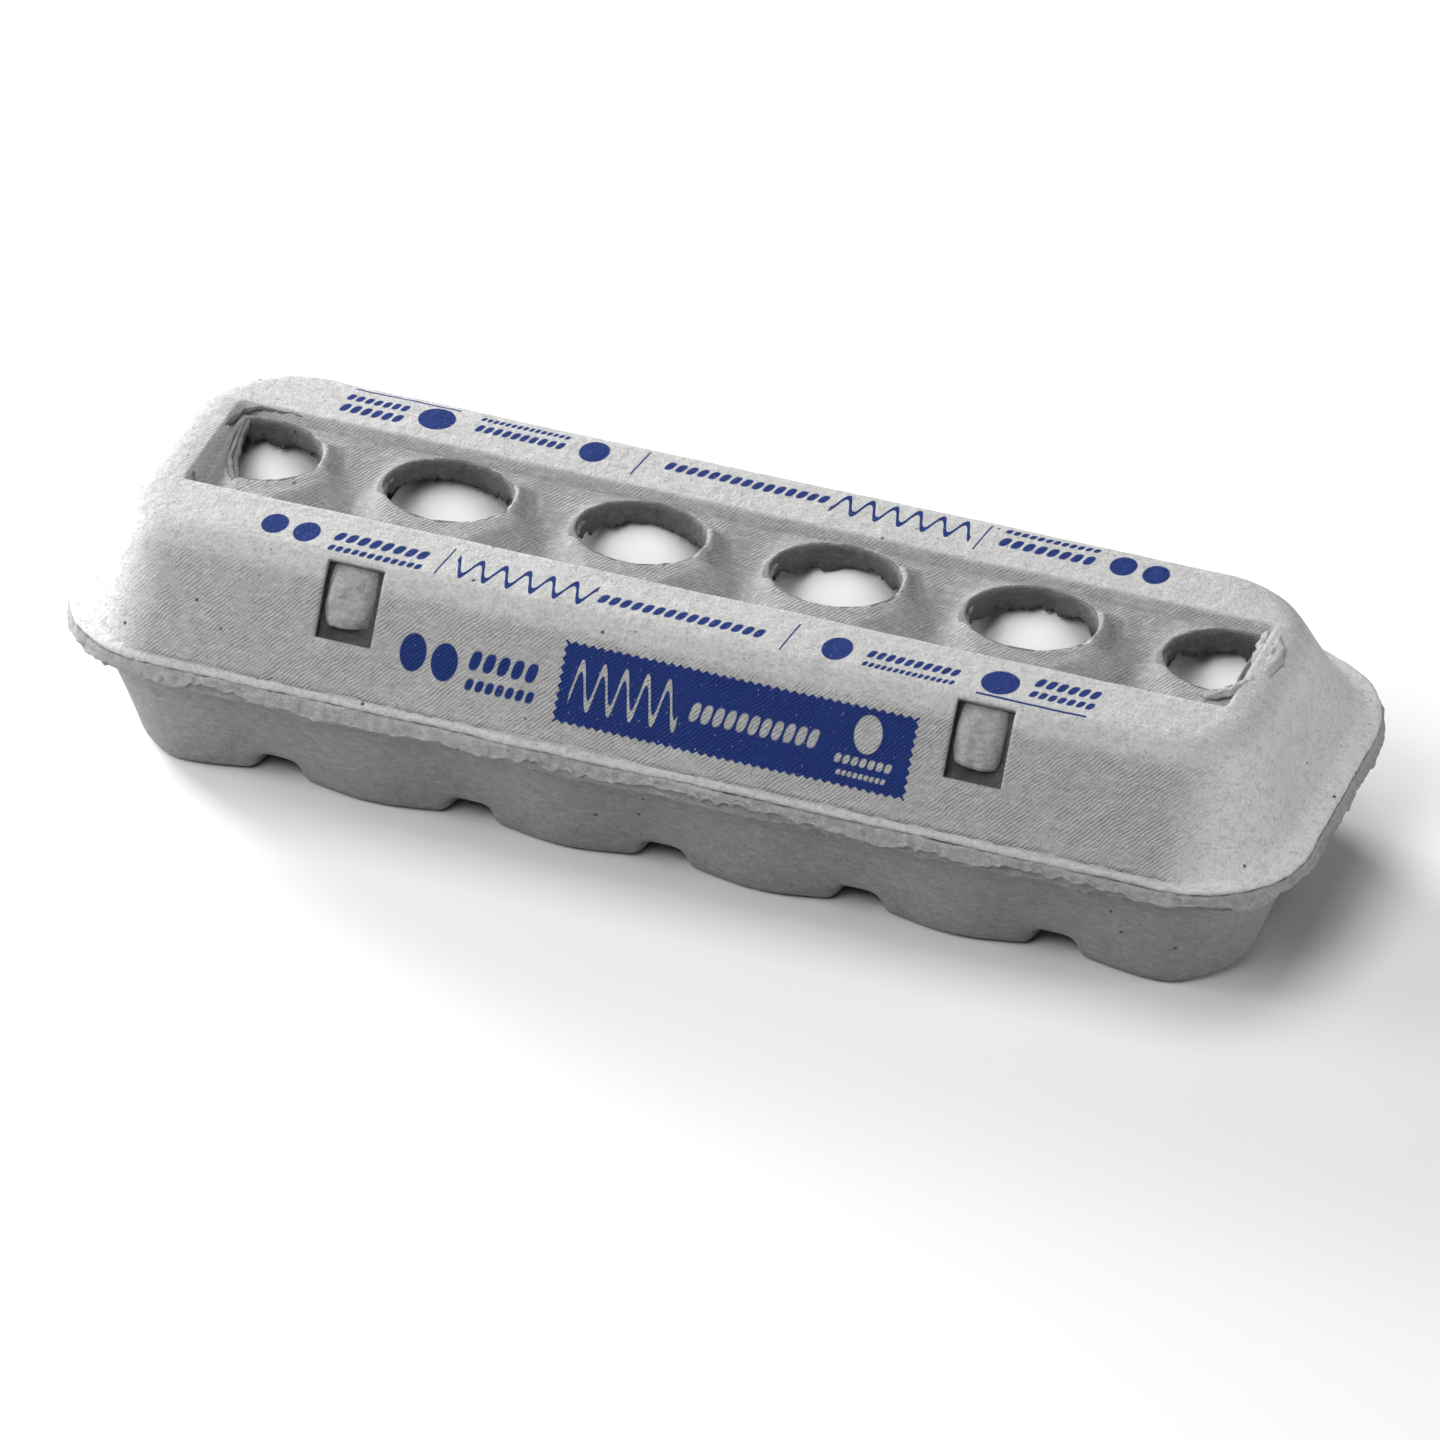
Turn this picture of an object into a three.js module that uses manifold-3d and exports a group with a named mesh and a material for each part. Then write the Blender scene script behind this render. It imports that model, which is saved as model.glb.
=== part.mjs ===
// A closed carton of moulded paper pulp with twelve white eggs in two rows.
// The tray has a cup for each egg, the lid is hinged along the back rim and has
// six oval windows in a sunken channel, and two knobs on the tray's inner flap
// catch in slots of the lid's front wall.
// Millimetres, +Z up, X along the rows, front towards -Y, origin under the middle.

import * as THREE from 'three';
import { mergeVertices } from 'three/addons/utils/BufferGeometryUtils.js';
import Module from 'manifold-3d';

const wasm = await Module();
wasm.setup();

// Driving dimensions of the whole carton.
const RIM_HALF_LENGTH = 148.5;
const RIM_HALF_WIDTH = 50.7;
const RIM_RADIUS = 28;
const RIM_HEIGHT = 34.3;
const TOTAL_HEIGHT = 63;
const PULP = 1.9;
const WALL_INSET = 2.1; // the sheet measured level through a sloping wall
const RIM_GAP = 0.3;
const FEATURE_SHIFT = -1; // cups and slots lie this far off the middle of the rim
const PAST_END = 160; // cutting boxes reach past the carton's ends and sides
const PAST_SIDE = 60;

// Rows of cups.
const PITCH = 47;
const COLUMNS = 6;
const ROW_Y = 21.8;
const cupX = (column) => (column - (COLUMNS - 1) / 2) * PITCH + FEATURE_SHIFT;

// Lid.
const LID_BOTTOM = RIM_HEIGHT + RIM_GAP;
const CHANNEL_HALF_LENGTH = 125;
const CHANNEL_HALF_WIDTH = 16.75;
const CHANNEL_EDGE = 62.5;
const WINDOW_HALF_LENGTH = 15.35;
const WINDOW_HALF_WIDTH = 11;
const WINDOW_X_SHIFT = 3.3; // from the cup below it
const WINDOW_Y = 0.85;
const WINDOW_RIM = 61.3;
const COLLAR_BOTTOM = 54.8;
const COLLAR_WALL = 1.5;
const RIM_OVERLAP = 0.2; // the collar ends this far inside the sheet above it
const WINDOWS_FROM = -122; // the end windows are cut off by the channel's ends
const WINDOWS_TO = 123.5;
const ABOVE_ALL = TOTAL_HEIGHT + 5; // cutting bodies reach past the top
const WINDOW_SIDES = 24;
const VALLEY_DEPTH = 8.6;
const VALLEY_FROM_WINDOW = 10.3; // the lowest line, from the end of the window on its left
const VALLEY_WIDTH = 16.3;
const SLOT_X = 75.5;
const SLOT_WIDTH = 13.8;
const SLOT_LOW = 46.6;
const SLOT_HIGH = 60.6;
const SLOT_BACK_Y = -28; // the slots go through the wall, clear of the channel

// Locking flap with its knobs.
const FLAP_HALF_LENGTH = 110;
const FLAP_THICKNESS = 1.2;
const FLAP_TOP = 56;
const FLAP_GAP = 0.35;
const FLAP_FOOT_INSET = 3.9;
const KNOB_WIDTH = 10.6;
const KNOB_PROUD = 0.7; // into the slot, past the inner face of the lid
const KNOB_LOW = 49;
const KNOB_HIGH = 59;
const KNOB_ROUND = 1.6;

// Eggs.
const EGG_BOTTOM = 2.4;
const EGG_WIDEST = 33.6;
const EGG_TOP = 55.8;
const EGG_RADIUS = 21.1;
const EGG_SEED = 11;

const paper = new THREE.MeshStandardMaterial({ color: 0xb9bab8, roughness: 0.93, metalness: 0 });
const shell = new THREE.MeshStandardMaterial({ color: 0xf2f1ee, roughness: 0.5, metalness: 0 });

function toSolid(geometry) {
  geometry.deleteAttribute('normal');
  geometry.deleteAttribute('uv');
  const merged = mergeVertices(geometry, 1e-4);
  return new wasm.Manifold(
    new wasm.Mesh({
      numProp: 3,
      vertProperties: new Float32Array(merged.attributes.position.array),
      triVerts: new Uint32Array(merged.index.array),
    }),
  );
}

function toMesh(name, solid, material) {
  const data = solid.getMesh();
  const geometry = new THREE.BufferGeometry();
  geometry.setAttribute('position', new THREE.BufferAttribute(data.vertProperties, 3));
  geometry.setIndex(new THREE.BufferAttribute(data.triVerts, 1));
  geometry.computeVertexNormals();
  const mesh = new THREE.Mesh(geometry, material);
  mesh.name = name;
  return mesh;
}

function box(x0, x1, y0, y1, z0, z1) {
  const geometry = new THREE.BoxGeometry(x1 - x0, y1 - y0, z1 - z0);
  geometry.translate((x0 + x1) / 2, (y0 + y1) / 2, (z0 + z1) / 2);
  return toSolid(geometry);
}

// A closed body through rings of equally many points, lowest ring first,
// each ring anticlockwise and seen whole from its own middle.
function loft(rings) {
  const count = rings[0].length;
  const position = rings.flat(2);
  const index = [];
  for (let r = 0; r + 1 < rings.length; r++) {
    for (let i = 0; i < count; i++) {
      const a = r * count + i;
      const b = r * count + ((i + 1) % count);
      index.push(a, b, b + count, a, b + count, a + count);
    }
  }
  [rings[0], rings[rings.length - 1]].forEach((ring, top) => {
    const middle = position.length / 3;
    const first = top ? (rings.length - 1) * count : 0;
    for (let k = 0; k < 3; k++) position.push(ring.reduce((sum, p) => sum + p[k], 0) / count);
    for (let i = 0; i < count; i++) {
      const a = first + i;
      const b = first + ((i + 1) % count);
      if (top) index.push(a, b, middle);
      else index.push(b, a, middle);
    }
  });
  const geometry = new THREE.BufferGeometry();
  geometry.setAttribute('position', new THREE.BufferAttribute(new Float32Array(position), 3));
  geometry.setIndex(index);
  return toSolid(geometry);
}

// A rounded rectangle, anticlockwise, with its long sides in equal steps.
function roundedOutline(halfX, halfY, radius, sideSteps, arcSteps) {
  const points = [];
  const corners = [
    [halfX - radius, -(halfY - radius), -Math.PI / 2],
    [halfX - radius, halfY - radius, 0],
    [-(halfX - radius), halfY - radius, Math.PI / 2],
    [-(halfX - radius), -(halfY - radius), Math.PI],
  ];
  corners.forEach(([x, y, start], corner) => {
    for (let k = 0; k <= arcSteps; k++) {
      const angle = start + (k / arcSteps) * (Math.PI / 2);
      points.push([x + radius * Math.cos(angle), y + radius * Math.sin(angle)]);
    }
    if (corner % 2 === 0) return;
    const sign = corner === 1 ? 1 : -1;
    for (let k = 1; k < sideSteps; k++) {
      points.push([sign * (halfX - radius) * (1 - (2 * k) / sideSteps), sign * halfY]);
    }
  });
  return points;
}

const RADIUS_LOSS = 0.55; // how much tighter the corners get for each millimetre of inset
const cornerRadius = (inset) => RIM_RADIUS - RADIUS_LOSS * inset;

// The carton's outline at some inset from the rim, lifted to a height.
function rimRing(inset, z, radius = cornerRadius(inset), sideSteps = 2, arcSteps = 6) {
  const halfX = RIM_HALF_LENGTH - inset;
  const halfY = RIM_HALF_WIDTH - inset;
  return roundedOutline(halfX, halfY, radius, sideSteps, arcSteps).map(([x, y]) => [x, y, z]);
}

// Lid wall, from a rounded lip at the rim over a soft shoulder to the flat top.
const LID_SLOPE = 0.594; // inset for each millimetre of height
const WALL_START = 38;
const WALL_START_INSET = 2.2;
const SHOULDER = 56;
const wallInset = (z) => WALL_START_INSET + (z - WALL_START) * LID_SLOPE;
const LID_PROFILE = [
  [0.5, LID_BOTTOM],
  [0, LID_BOTTOM + 0.8],
  [0.1, LID_BOTTOM + 1.9],
  [1.1, LID_BOTTOM + 2.7],
  [WALL_START_INSET, WALL_START],
  [wallInset(SHOULDER), SHOULDER],
  [15.3, 60.4],
  [17.2, 62.2],
  [19.8, TOTAL_HEIGHT],
];
const LID_INNER_PROFILE = [
  [2.9, LID_BOTTOM - 1],
  [2.9, LID_BOTTOM + 1.4],
  [WALL_START_INSET + WALL_INSET, WALL_START],
  [wallInset(SHOULDER) + WALL_INSET, SHOULDER],
  [17.2, 59.2],
  [19.6, 60.7],
  [21.6, TOTAL_HEIGHT - PULP],
];

// Height of the sunken channel between the two top strips.
function windowX(column) {
  return cupX(column) + WINDOW_X_SHIFT;
}

function valleyShare(x) {
  for (let column = 0; column + 1 < COLUMNS; column++) {
    const start = windowX(column) + WINDOW_HALF_LENGTH;
    const lowest = start + VALLEY_FROM_WINDOW;
    const end = start + VALLEY_WIDTH;
    if (x > start && x <= lowest) return (x - start) / (lowest - start);
    if (x > lowest && x < end) return (end - x) / (end - lowest);
  }
  return 0;
}

// A dip falls gently from the back and steeply from the front.
const DIP_BACK_RUN = CHANNEL_HALF_WIDTH + 4;
const DIP_FRONT_RUN = 6;
const EDGE_RUN = 3; // over which the channel sinks to the level of the windows
const CHANNEL_LINES = [-13.7, -10.7, -4, 2, 8, 13.7]; // close together where it bends

function channelFloor(x, y) {
  const back = (CHANNEL_HALF_WIDTH - y) / DIP_BACK_RUN;
  const front = (y + CHANNEL_HALF_WIDTH) / DIP_FRONT_RUN;
  const across = Math.max(0, Math.min(1, back, front));
  const sunk = CHANNEL_EDGE - WINDOW_RIM;
  const edge = Math.min(1, (CHANNEL_HALF_WIDTH - Math.abs(y)) / EDGE_RUN);
  return CHANNEL_EDGE - sunk * edge - VALLEY_DEPTH * valleyShare(x) * across;
}

// The open space of the channel, or with a thickness the space out to the far
// face of its sheet.
function channelSpace(thickness) {
  const halfX = CHANNEL_HALF_LENGTH + thickness;
  const halfY = CHANNEL_HALF_WIDTH + thickness;
  const lines = new Set([-halfX, halfX]);
  for (let column = 0; column < COLUMNS; column++) {
    const start = windowX(column) + WINDOW_HALF_LENGTH;
    lines.add(windowX(column));
    if (column + 1 === COLUMNS) continue;
    const lowest = start + VALLEY_FROM_WINDOW;
    const end = start + VALLEY_WIDTH;
    [0, 0.35, 0.7].forEach((share) => lines.add(start + share * VALLEY_FROM_WINDOW));
    [lowest, (lowest + end) / 2, end].forEach((x) => lines.add(x));
  }
  const xs = [...lines].sort((a, b) => a - b);
  const ys = [-halfY, ...CHANNEL_LINES, halfY];
  const position = [];
  for (const top of [false, true]) {
    for (const x of xs) {
      for (const y of ys) {
        const inX = Math.max(-CHANNEL_HALF_LENGTH, Math.min(CHANNEL_HALF_LENGTH, x));
        const inY = Math.max(-CHANNEL_HALF_WIDTH, Math.min(CHANNEL_HALF_WIDTH, y));
        position.push(x, y, top ? ABOVE_ALL : channelFloor(inX, inY) - thickness);
      }
    }
  }
  const layer = xs.length * ys.length;
  const at = (i, j, top) => (top ? layer : 0) + i * ys.length + j;
  const index = [];
  const quad = (a, b, c, d) => index.push(a, b, c, a, c, d);
  for (let i = 0; i + 1 < xs.length; i++) {
    for (let j = 0; j + 1 < ys.length; j++) {
      quad(at(i, j, 0), at(i, j + 1, 0), at(i + 1, j + 1, 0), at(i + 1, j, 0));
      quad(at(i, j, 1), at(i + 1, j, 1), at(i + 1, j + 1, 1), at(i, j + 1, 1));
    }
    const last = ys.length - 1;
    quad(at(i, 0, 0), at(i + 1, 0, 0), at(i + 1, 0, 1), at(i, 0, 1));
    quad(at(i, last, 0), at(i, last, 1), at(i + 1, last, 1), at(i + 1, last, 0));
  }
  for (let j = 0; j + 1 < ys.length; j++) {
    const last = xs.length - 1;
    quad(at(0, j, 0), at(0, j, 1), at(0, j + 1, 1), at(0, j + 1, 0));
    quad(at(last, j, 0), at(last, j + 1, 0), at(last, j + 1, 1), at(last, j, 1));
  }
  const geometry = new THREE.BufferGeometry();
  geometry.setAttribute('position', new THREE.BufferAttribute(new Float32Array(position), 3));
  geometry.setIndex(index);
  return toSolid(geometry);
}

function ovalPrism(x, halfX, halfY, z0, z1) {
  const ring = (z) =>
    Array.from({ length: WINDOW_SIDES }, (_, k) => {
      const angle = (k / WINDOW_SIDES) * 2 * Math.PI;
      const px = x + halfX * Math.cos(angle);
      return [px, WINDOW_Y + halfY * Math.sin(angle), z];
    });
  return loft([ring(z0), ring(z1)]);
}

function makeLid() {
  let lid = loft(LID_PROFILE.map(([inset, z]) => rimRing(inset, z)));
  const outside = lid;
  lid = lid.subtract(loft(LID_INNER_PROFILE.map(([inset, z]) => rimRing(inset, z))));
  lid = lid.add(channelSpace(PULP).intersect(outside));
  const [from, to] = [WINDOWS_FROM, WINDOWS_TO];
  const within = box(from, to, -PAST_SIDE, PAST_SIDE, 0, ABOVE_ALL);
  const widerFrom = from - COLLAR_WALL;
  const widerTo = to + COLLAR_WALL;
  const withinCollars = box(widerFrom, widerTo, -PAST_SIDE, PAST_SIDE, 0, ABOVE_ALL);
  for (let column = 0; column < COLUMNS; column++) {
    const collar = ovalPrism(
      windowX(column),
      WINDOW_HALF_LENGTH + COLLAR_WALL,
      WINDOW_HALF_WIDTH + COLLAR_WALL,
      COLLAR_BOTTOM,
      WINDOW_RIM - RIM_OVERLAP,
    );
    lid = lid.add(collar.intersect(withinCollars));
  }
  lid = lid.subtract(channelSpace(0));
  for (let column = 0; column < COLUMNS; column++) {
    const x = windowX(column);
    const hole = ovalPrism(x, WINDOW_HALF_LENGTH, WINDOW_HALF_WIDTH, RIM_HEIGHT, ABOVE_ALL);
    lid = lid.subtract(hole.intersect(within));
  }
  for (const side of [-1, 1]) {
    const x = side * SLOT_X + FEATURE_SHIFT;
    const half = SLOT_WIDTH / 2;
    const slot = box(x - half, x + half, -PAST_SIDE, SLOT_BACK_Y, SLOT_LOW, SLOT_HIGH);
    lid = lid.subtract(slot);
  }
  return lid;
}

// Tray wall: narrower below, and bulging out at each cup.
const TRAY_FOOT_INSET = 14.1;
const TRAY_TOP_INSET = 2.8;
const SCALLOP = 3.2;
const TRAY_SIDE_STEPS = 24;
const TRAY_RADIUS = 26;
const TRAY_RADIUS_LOSS = 0.75;
const NOTCH_TOP = 6; // of the notches that part the cups
const RIDGE_LOW = 16.3;
const RIDGE_HIGH = 21;
const RIDGE_HALF_WIDTH = 4.5;
const trayRadius = (inset) => TRAY_RADIUS - TRAY_RADIUS_LOSS * inset;
const trayInset = (z) => {
  const share = Math.min(1, z / RIM_HEIGHT);
  return TRAY_FOOT_INSET + (TRAY_TOP_INSET - TRAY_FOOT_INSET) * share ** 1.15;
};

function trayRing(inset, z, deeper) {
  const level = Math.max(0, 1 - (z / RIM_HEIGHT) ** 2);
  const radius = trayRadius(inset + deeper);
  return rimRing(inset + deeper, z, radius, TRAY_SIDE_STEPS, 5).map(([x, y, h]) => {
    const wave = 0.5 + 0.5 * Math.cos((2 * Math.PI * (x - cupX(0))) / PITCH);
    const side = Math.min(1, Math.abs(y) / (RIM_HALF_WIDTH - inset - deeper)) ** 8;
    return [x, y + Math.sign(y) * SCALLOP * level * wave * side, h];
  });
}

// A cup as rings of rounded squares, [height, half size along X, towards the
// outside, towards the middle, squareness].
const CUP_SIDES = 16;
function cupBody(column, side, rows) {
  const rings = rows.map(([z, halfX, outer, inner, power]) => {
    const ring = [];
    for (let k = 0; k < CUP_SIDES; k++) {
      const angle = (k / CUP_SIDES) * 2 * Math.PI;
      const c = Math.cos(angle);
      const s = Math.sin(angle);
      const reach = s * side > 0 ? outer : inner;
      const x = cupX(column) + halfX * Math.sign(c) * Math.abs(c) ** (2 / power);
      const y = side * ROW_Y + reach * Math.sign(s) * Math.abs(s) ** (2 / power);
      ring.push([x, y, z]);
    }
    return ring;
  });
  return loft(rings);
}

const CUP_OUTSIDE = [
  [0, 17.4, 18.4, 15.6, 3.6],
  [1.8, 19.3, 21, 17.6, 3.6],
  [RIDGE_HIGH, 25.4, 27, 23.6, 3],
];
const CUP_INSIDE = [
  [PULP + 0.1, 15, 17, 13.4, 3.4],
  [3.8, 17.5, 21, 15.8, 3.4],
  [17, 22.8, 27, 20.8, 3],
  [50, 26.4, 30, 25, 2.4],
];

function makeTray() {
  const foot = [0, 1.2, 16, RIM_HEIGHT];
  const footInset = [1.6, 0, 0, 0]; // a rounded lower edge
  const outside = loft(foot.map((z, i) => trayRing(trayInset(z) + footInset[i], z, 0)));
  const innerFloor = [PULP, 16, RIM_HEIGHT, RIM_HEIGHT + 20];
  const inside = loft(innerFloor.map((z) => trayRing(trayInset(z), z, WALL_INSET)));

  let cups = null;
  let hollows = null;
  for (let column = 0; column < COLUMNS; column++) {
    for (const side of [-1, 1]) {
      const cup = cupBody(column, side, CUP_OUTSIDE);
      const hollow = cupBody(column, side, CUP_INSIDE);
      cups = cups ? cups.add(cup) : cup;
      hollows = hollows ? hollows.add(hollow) : hollow;
    }
  }

  const wall = outside
    .subtract(loft(foot.map((z) => trayRing(trayInset(z), z, WALL_INSET))))
    .intersect(box(-PAST_END, PAST_END, -PAST_SIDE, PAST_SIDE, NOTCH_TOP, RIM_HEIGHT));

  // Ridges that close the corners left between the cups and the wall.
  const half = RIDGE_HALF_WIDTH;
  let ridges = box(-PAST_END, PAST_END, -half, half, RIDGE_LOW, RIDGE_HIGH);
  for (let border = 1; border < COLUMNS; border++) {
    const x = cupX(border) - PITCH / 2;
    ridges = ridges.add(box(x - half, x + half, -PAST_SIDE, PAST_SIDE, RIDGE_LOW, RIDGE_HIGH));
  }

  let tray = cups.add(ridges).intersect(outside).add(wall);
  for (let border = 1; border < COLUMNS; border++) {
    const x = cupX(border) - PITCH / 2;
    tray = tray.add(postBody(x, POST)).subtract(postBody(x, POST_HOLLOW));
  }
  tray = tray.add(makeFlange());
  tray = tray.subtract(hollows.intersect(inside));
  return tray.add(makeFlap());
}

// A hollow post where four cups meet, open below; the cups shape its sides.
const POST_SIDES = 8;
const POST = [
  [11, 17],
  [9, 30],
  [6.5, 43.5],
  [4.6, 46],
];
const POST_HOLLOW = [
  [5, -1],
  [4.6, 20],
  [3, 40],
  [2.2, 43.6],
];

function postBody(x, rows) {
  const rings = rows.map(([radius, z]) =>
    Array.from({ length: POST_SIDES }, (_, k) => {
      const angle = (k / POST_SIDES) * 2 * Math.PI;
      return [x + radius * Math.cos(angle), radius * Math.sin(angle), z];
    }),
  );
  return loft(rings);
}

// The rim's flange, its edge turned down all round.
const FLANGE_DROP = 3.8;
const FLANGE_THICKNESS = 1.6;
const FLANGE_EDGE_HEIGHT = 1.2; // of the widest place, below the top
const FLANGE_EDGE_ROUND = 0.5;

function makeFlange() {
  const low = RIM_HEIGHT - FLANGE_DROP;
  const outer = loft([
    rimRing(0.3, low),
    rimRing(0, RIM_HEIGHT - FLANGE_EDGE_HEIGHT),
    rimRing(FLANGE_EDGE_ROUND, RIM_HEIGHT),
  ]);
  const hole = loft([
    rimRing(TRAY_TOP_INSET + WALL_INSET, 0),
    rimRing(TRAY_TOP_INSET + WALL_INSET, RIM_HEIGHT + 1),
  ]);
  const wall = loft([
    rimRing(TRAY_TOP_INSET + 0.6, low - 2),
    rimRing(TRAY_TOP_INSET + 0.2, RIM_HEIGHT),
  ]);
  const groove = loft([
    rimRing(FLANGE_THICKNESS, low - 1),
    rimRing(FLANGE_THICKNESS + 0.1, RIM_HEIGHT - FLANGE_THICKNESS),
  ]).subtract(wall);
  return outer.subtract(hole).subtract(groove);
}

// The flap inside the lid's front wall, and the knobs on it.
function makeFlap() {
  const face = (z) => -(RIM_HALF_WIDTH - wallInset(z) - WALL_INSET - FLAP_GAP);
  const foot = RIM_HEIGHT - 1;
  const bend = RIM_HEIGHT + 1.2;
  const footY = -(RIM_HALF_WIDTH - FLAP_FOOT_INSET);
  const section = new THREE.Shape([
    new THREE.Vector2(footY, foot),
    new THREE.Vector2(footY, bend),
    new THREE.Vector2(face(WALL_START), WALL_START),
    new THREE.Vector2(face(FLAP_TOP), FLAP_TOP),
    new THREE.Vector2(face(FLAP_TOP) + FLAP_THICKNESS, FLAP_TOP),
    new THREE.Vector2(face(WALL_START) + FLAP_THICKNESS, WALL_START),
    new THREE.Vector2(footY + FLAP_THICKNESS, bend),
    new THREE.Vector2(footY + FLAP_THICKNESS, foot),
  ]);
  const strip = new THREE.ExtrudeGeometry(section, {
    depth: 2 * FLAP_HALF_LENGTH,
    bevelEnabled: false,
  });
  // The section's x and y become the carton's y and z.
  strip.applyMatrix4(new THREE.Matrix4().set(0, 0, 1, 0, 1, 0, 0, 0, 0, 1, 0, 0, 0, 0, 0, 1));
  strip.translate(-FLAP_HALF_LENGTH + FEATURE_SHIFT, 0, 0);
  let flap = toSolid(strip);
  for (const side of [-1, 1]) flap = flap.add(makeKnob(side * SLOT_X + FEATURE_SHIFT));
  return flap;
}

function makeKnob(x) {
  const wallFace = (z) => -(RIM_HALF_WIDTH - wallInset(z) - WALL_INSET);
  const ring = (share, halfWidth, low, high) => {
    const outline = roundedOutline(halfWidth, (high - low) / 2, KNOB_ROUND, 2, 3);
    const middle = (high + low) / 2;
    return outline.map(([px, pz]) => {
      const z = middle + pz;
      const back = wallFace(z) + FLAP_GAP + FLAP_THICKNESS / 2;
      const front = wallFace(z) - KNOB_PROUD;
      return [x + px, back + (front - back) * share, z];
    });
  };
  const half = KNOB_WIDTH / 2;
  return loft([
    ring(0, half, KNOB_LOW, KNOB_HIGH),
    ring(0.55, half, KNOB_LOW, KNOB_HIGH),
    ring(0.85, half - 0.7, KNOB_LOW + 0.9, KNOB_HIGH - 0.7),
    ring(1, half - 2, KNOB_LOW + 2.4, KNOB_HIGH - 2),
  ]);
}

// An egg on its pointed end: half an ellipse above the widest place, and below
// it a longer one drawn in towards the tip.
const EGG_STEPS = 9;
const EGG_SIDES = 12;
const EGG_TAPER = 0.07;

function eggGeometry(scale) {
  const profile = [];
  for (let k = 0; k <= EGG_STEPS; k++) {
    const angle = -Math.PI / 2 + (k / EGG_STEPS) * Math.PI;
    const above = angle > 0;
    const half = above ? EGG_TOP - EGG_WIDEST : EGG_WIDEST - EGG_BOTTOM;
    const taper = above ? 1 : 1 - EGG_TAPER * Math.sin(angle) ** 2;
    const onAxis = k === 0 || k === EGG_STEPS;
    const radius = onAxis ? 0 : EGG_RADIUS * Math.cos(angle) * taper;
    profile.push(new THREE.Vector2(radius * scale, (EGG_WIDEST + half * Math.sin(angle)) * scale));
  }
  const geometry = new THREE.LatheGeometry(profile, EGG_SIDES);
  geometry.rotateX(Math.PI / 2);
  return geometry;
}

// Repeatable numbers from 0 to 1, for the small differences between the eggs.
function* randomNumbers(seed) {
  let state = seed;
  while (true) {
    state = (state * 16807) % 2147483647;
    yield state / 2147483647;
  }
}

function addEggs(group) {
  const draw = randomNumbers(EGG_SEED);
  const smallest = 0.975;
  const sizeRange = 0.02;
  const lean = THREE.MathUtils.degToRad(2.2);
  let number = 0;
  for (const side of [-1, 1]) {
    for (let column = 0; column < COLUMNS; column++) {
      number += 1;
      const scale = smallest + sizeRange * draw.next().value;
      const tiltX = lean * (2 * draw.next().value - 1);
      const tiltY = lean * (2 * draw.next().value - 1);
      const egg = toMesh(`egg_${String(number).padStart(2, '0')}`, toSolid(eggGeometry(scale)), shell);
      egg.position.set(cupX(column), side * ROW_Y, 0.5);
      egg.rotation.set(tiltX, tiltY, 0);
      group.add(egg);
    }
  }
}

const carton = new THREE.Group();
carton.add(toMesh('base_tray', makeTray(), paper));
carton.add(toMesh('lid', makeLid(), paper));
addEggs(carton);

export default carton;
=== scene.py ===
"""A closed carton of moulded paper pulp with white eggs, dressed around its CAD frame.

The lid's skin is a grid over its plan: the wall's profile, the sunken channel with its
dips, six oval windows with down-turned torn collars and two latch slots. The tray is cut
from lofts and remeshed. Rims are swept round the outline with ragged edges, and the locking
flap with its two knobs stands inside the lid's front wall.
Lengths in this script are millimetres until a mesh is made.
"""

import math

import bpy
import numpy as np
from mathutils import Matrix, Vector


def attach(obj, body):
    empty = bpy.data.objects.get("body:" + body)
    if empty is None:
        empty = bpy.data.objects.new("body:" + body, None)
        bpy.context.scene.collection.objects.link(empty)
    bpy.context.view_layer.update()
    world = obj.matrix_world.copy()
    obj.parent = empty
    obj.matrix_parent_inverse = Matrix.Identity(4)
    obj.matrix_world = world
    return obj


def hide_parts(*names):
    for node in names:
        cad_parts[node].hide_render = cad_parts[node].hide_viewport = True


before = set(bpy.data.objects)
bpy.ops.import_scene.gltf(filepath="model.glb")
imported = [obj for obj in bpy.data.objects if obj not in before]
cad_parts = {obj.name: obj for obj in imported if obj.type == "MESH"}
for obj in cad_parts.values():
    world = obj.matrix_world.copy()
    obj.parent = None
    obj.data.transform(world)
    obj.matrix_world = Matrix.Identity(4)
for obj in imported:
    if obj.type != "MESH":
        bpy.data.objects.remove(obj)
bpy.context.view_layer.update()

MM = 0.001

# Driving dimensions: the same carton as the part's source, with the corners, end walls and
# windows a little nearer to the real one's.
RIM_HALF_LENGTH = 148.5
RIM_HALF_WIDTH = 50.7
RIM_RADII = (26.0, 31.0)  # of the front and of the back corners
RIM_HEIGHT = 34.3
TOTAL_HEIGHT = 63.0
PULP = 1.9
WALL_INSET = 2.1
FEATURE_SHIFT = -1.0
PITCH = 47.0
COLUMNS = 6
ROW_Y = 21.8
CHANNEL_HALF_LENGTH = 125.0
CHANNEL_HALF_WIDTH = 16.75
CHANNEL_EDGE = 62.5
WINDOW_HALF_LENGTH = 15.35
WINDOW_HALF_WIDTH = 12.0
WINDOW_X_SHIFT = 3.3
WINDOW_Y = 1.9
WINDOW_RIM = 61.3
WINDOWS_FROM = -122.0
WINDOWS_TO = 123.5
SLOT_X = 75.5
SLOT_WIDTH = 13.8
SLOT_LOW_Y = -43.3
SLOT_HIGH_Y = -33.5
LID_SLOPE = 0.594
WALL_START = 38.0
WALL_START_INSET = 2.2
TRAY_FOOT_INSET = 14.1
TRAY_TOP_INSET = 2.8
SCALLOP = 3.2
NOTCH_TOP = 6.0
LID_SEED = 7


def cup_x(column):
    return (column - (COLUMNS - 1) / 2) * PITCH + FEATURE_SHIFT


def window_x(column):
    return cup_x(column) + WINDOW_X_SHIFT


def wall_inset(z):
    return WALL_START_INSET + (z - WALL_START) * LID_SLOPE


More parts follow.
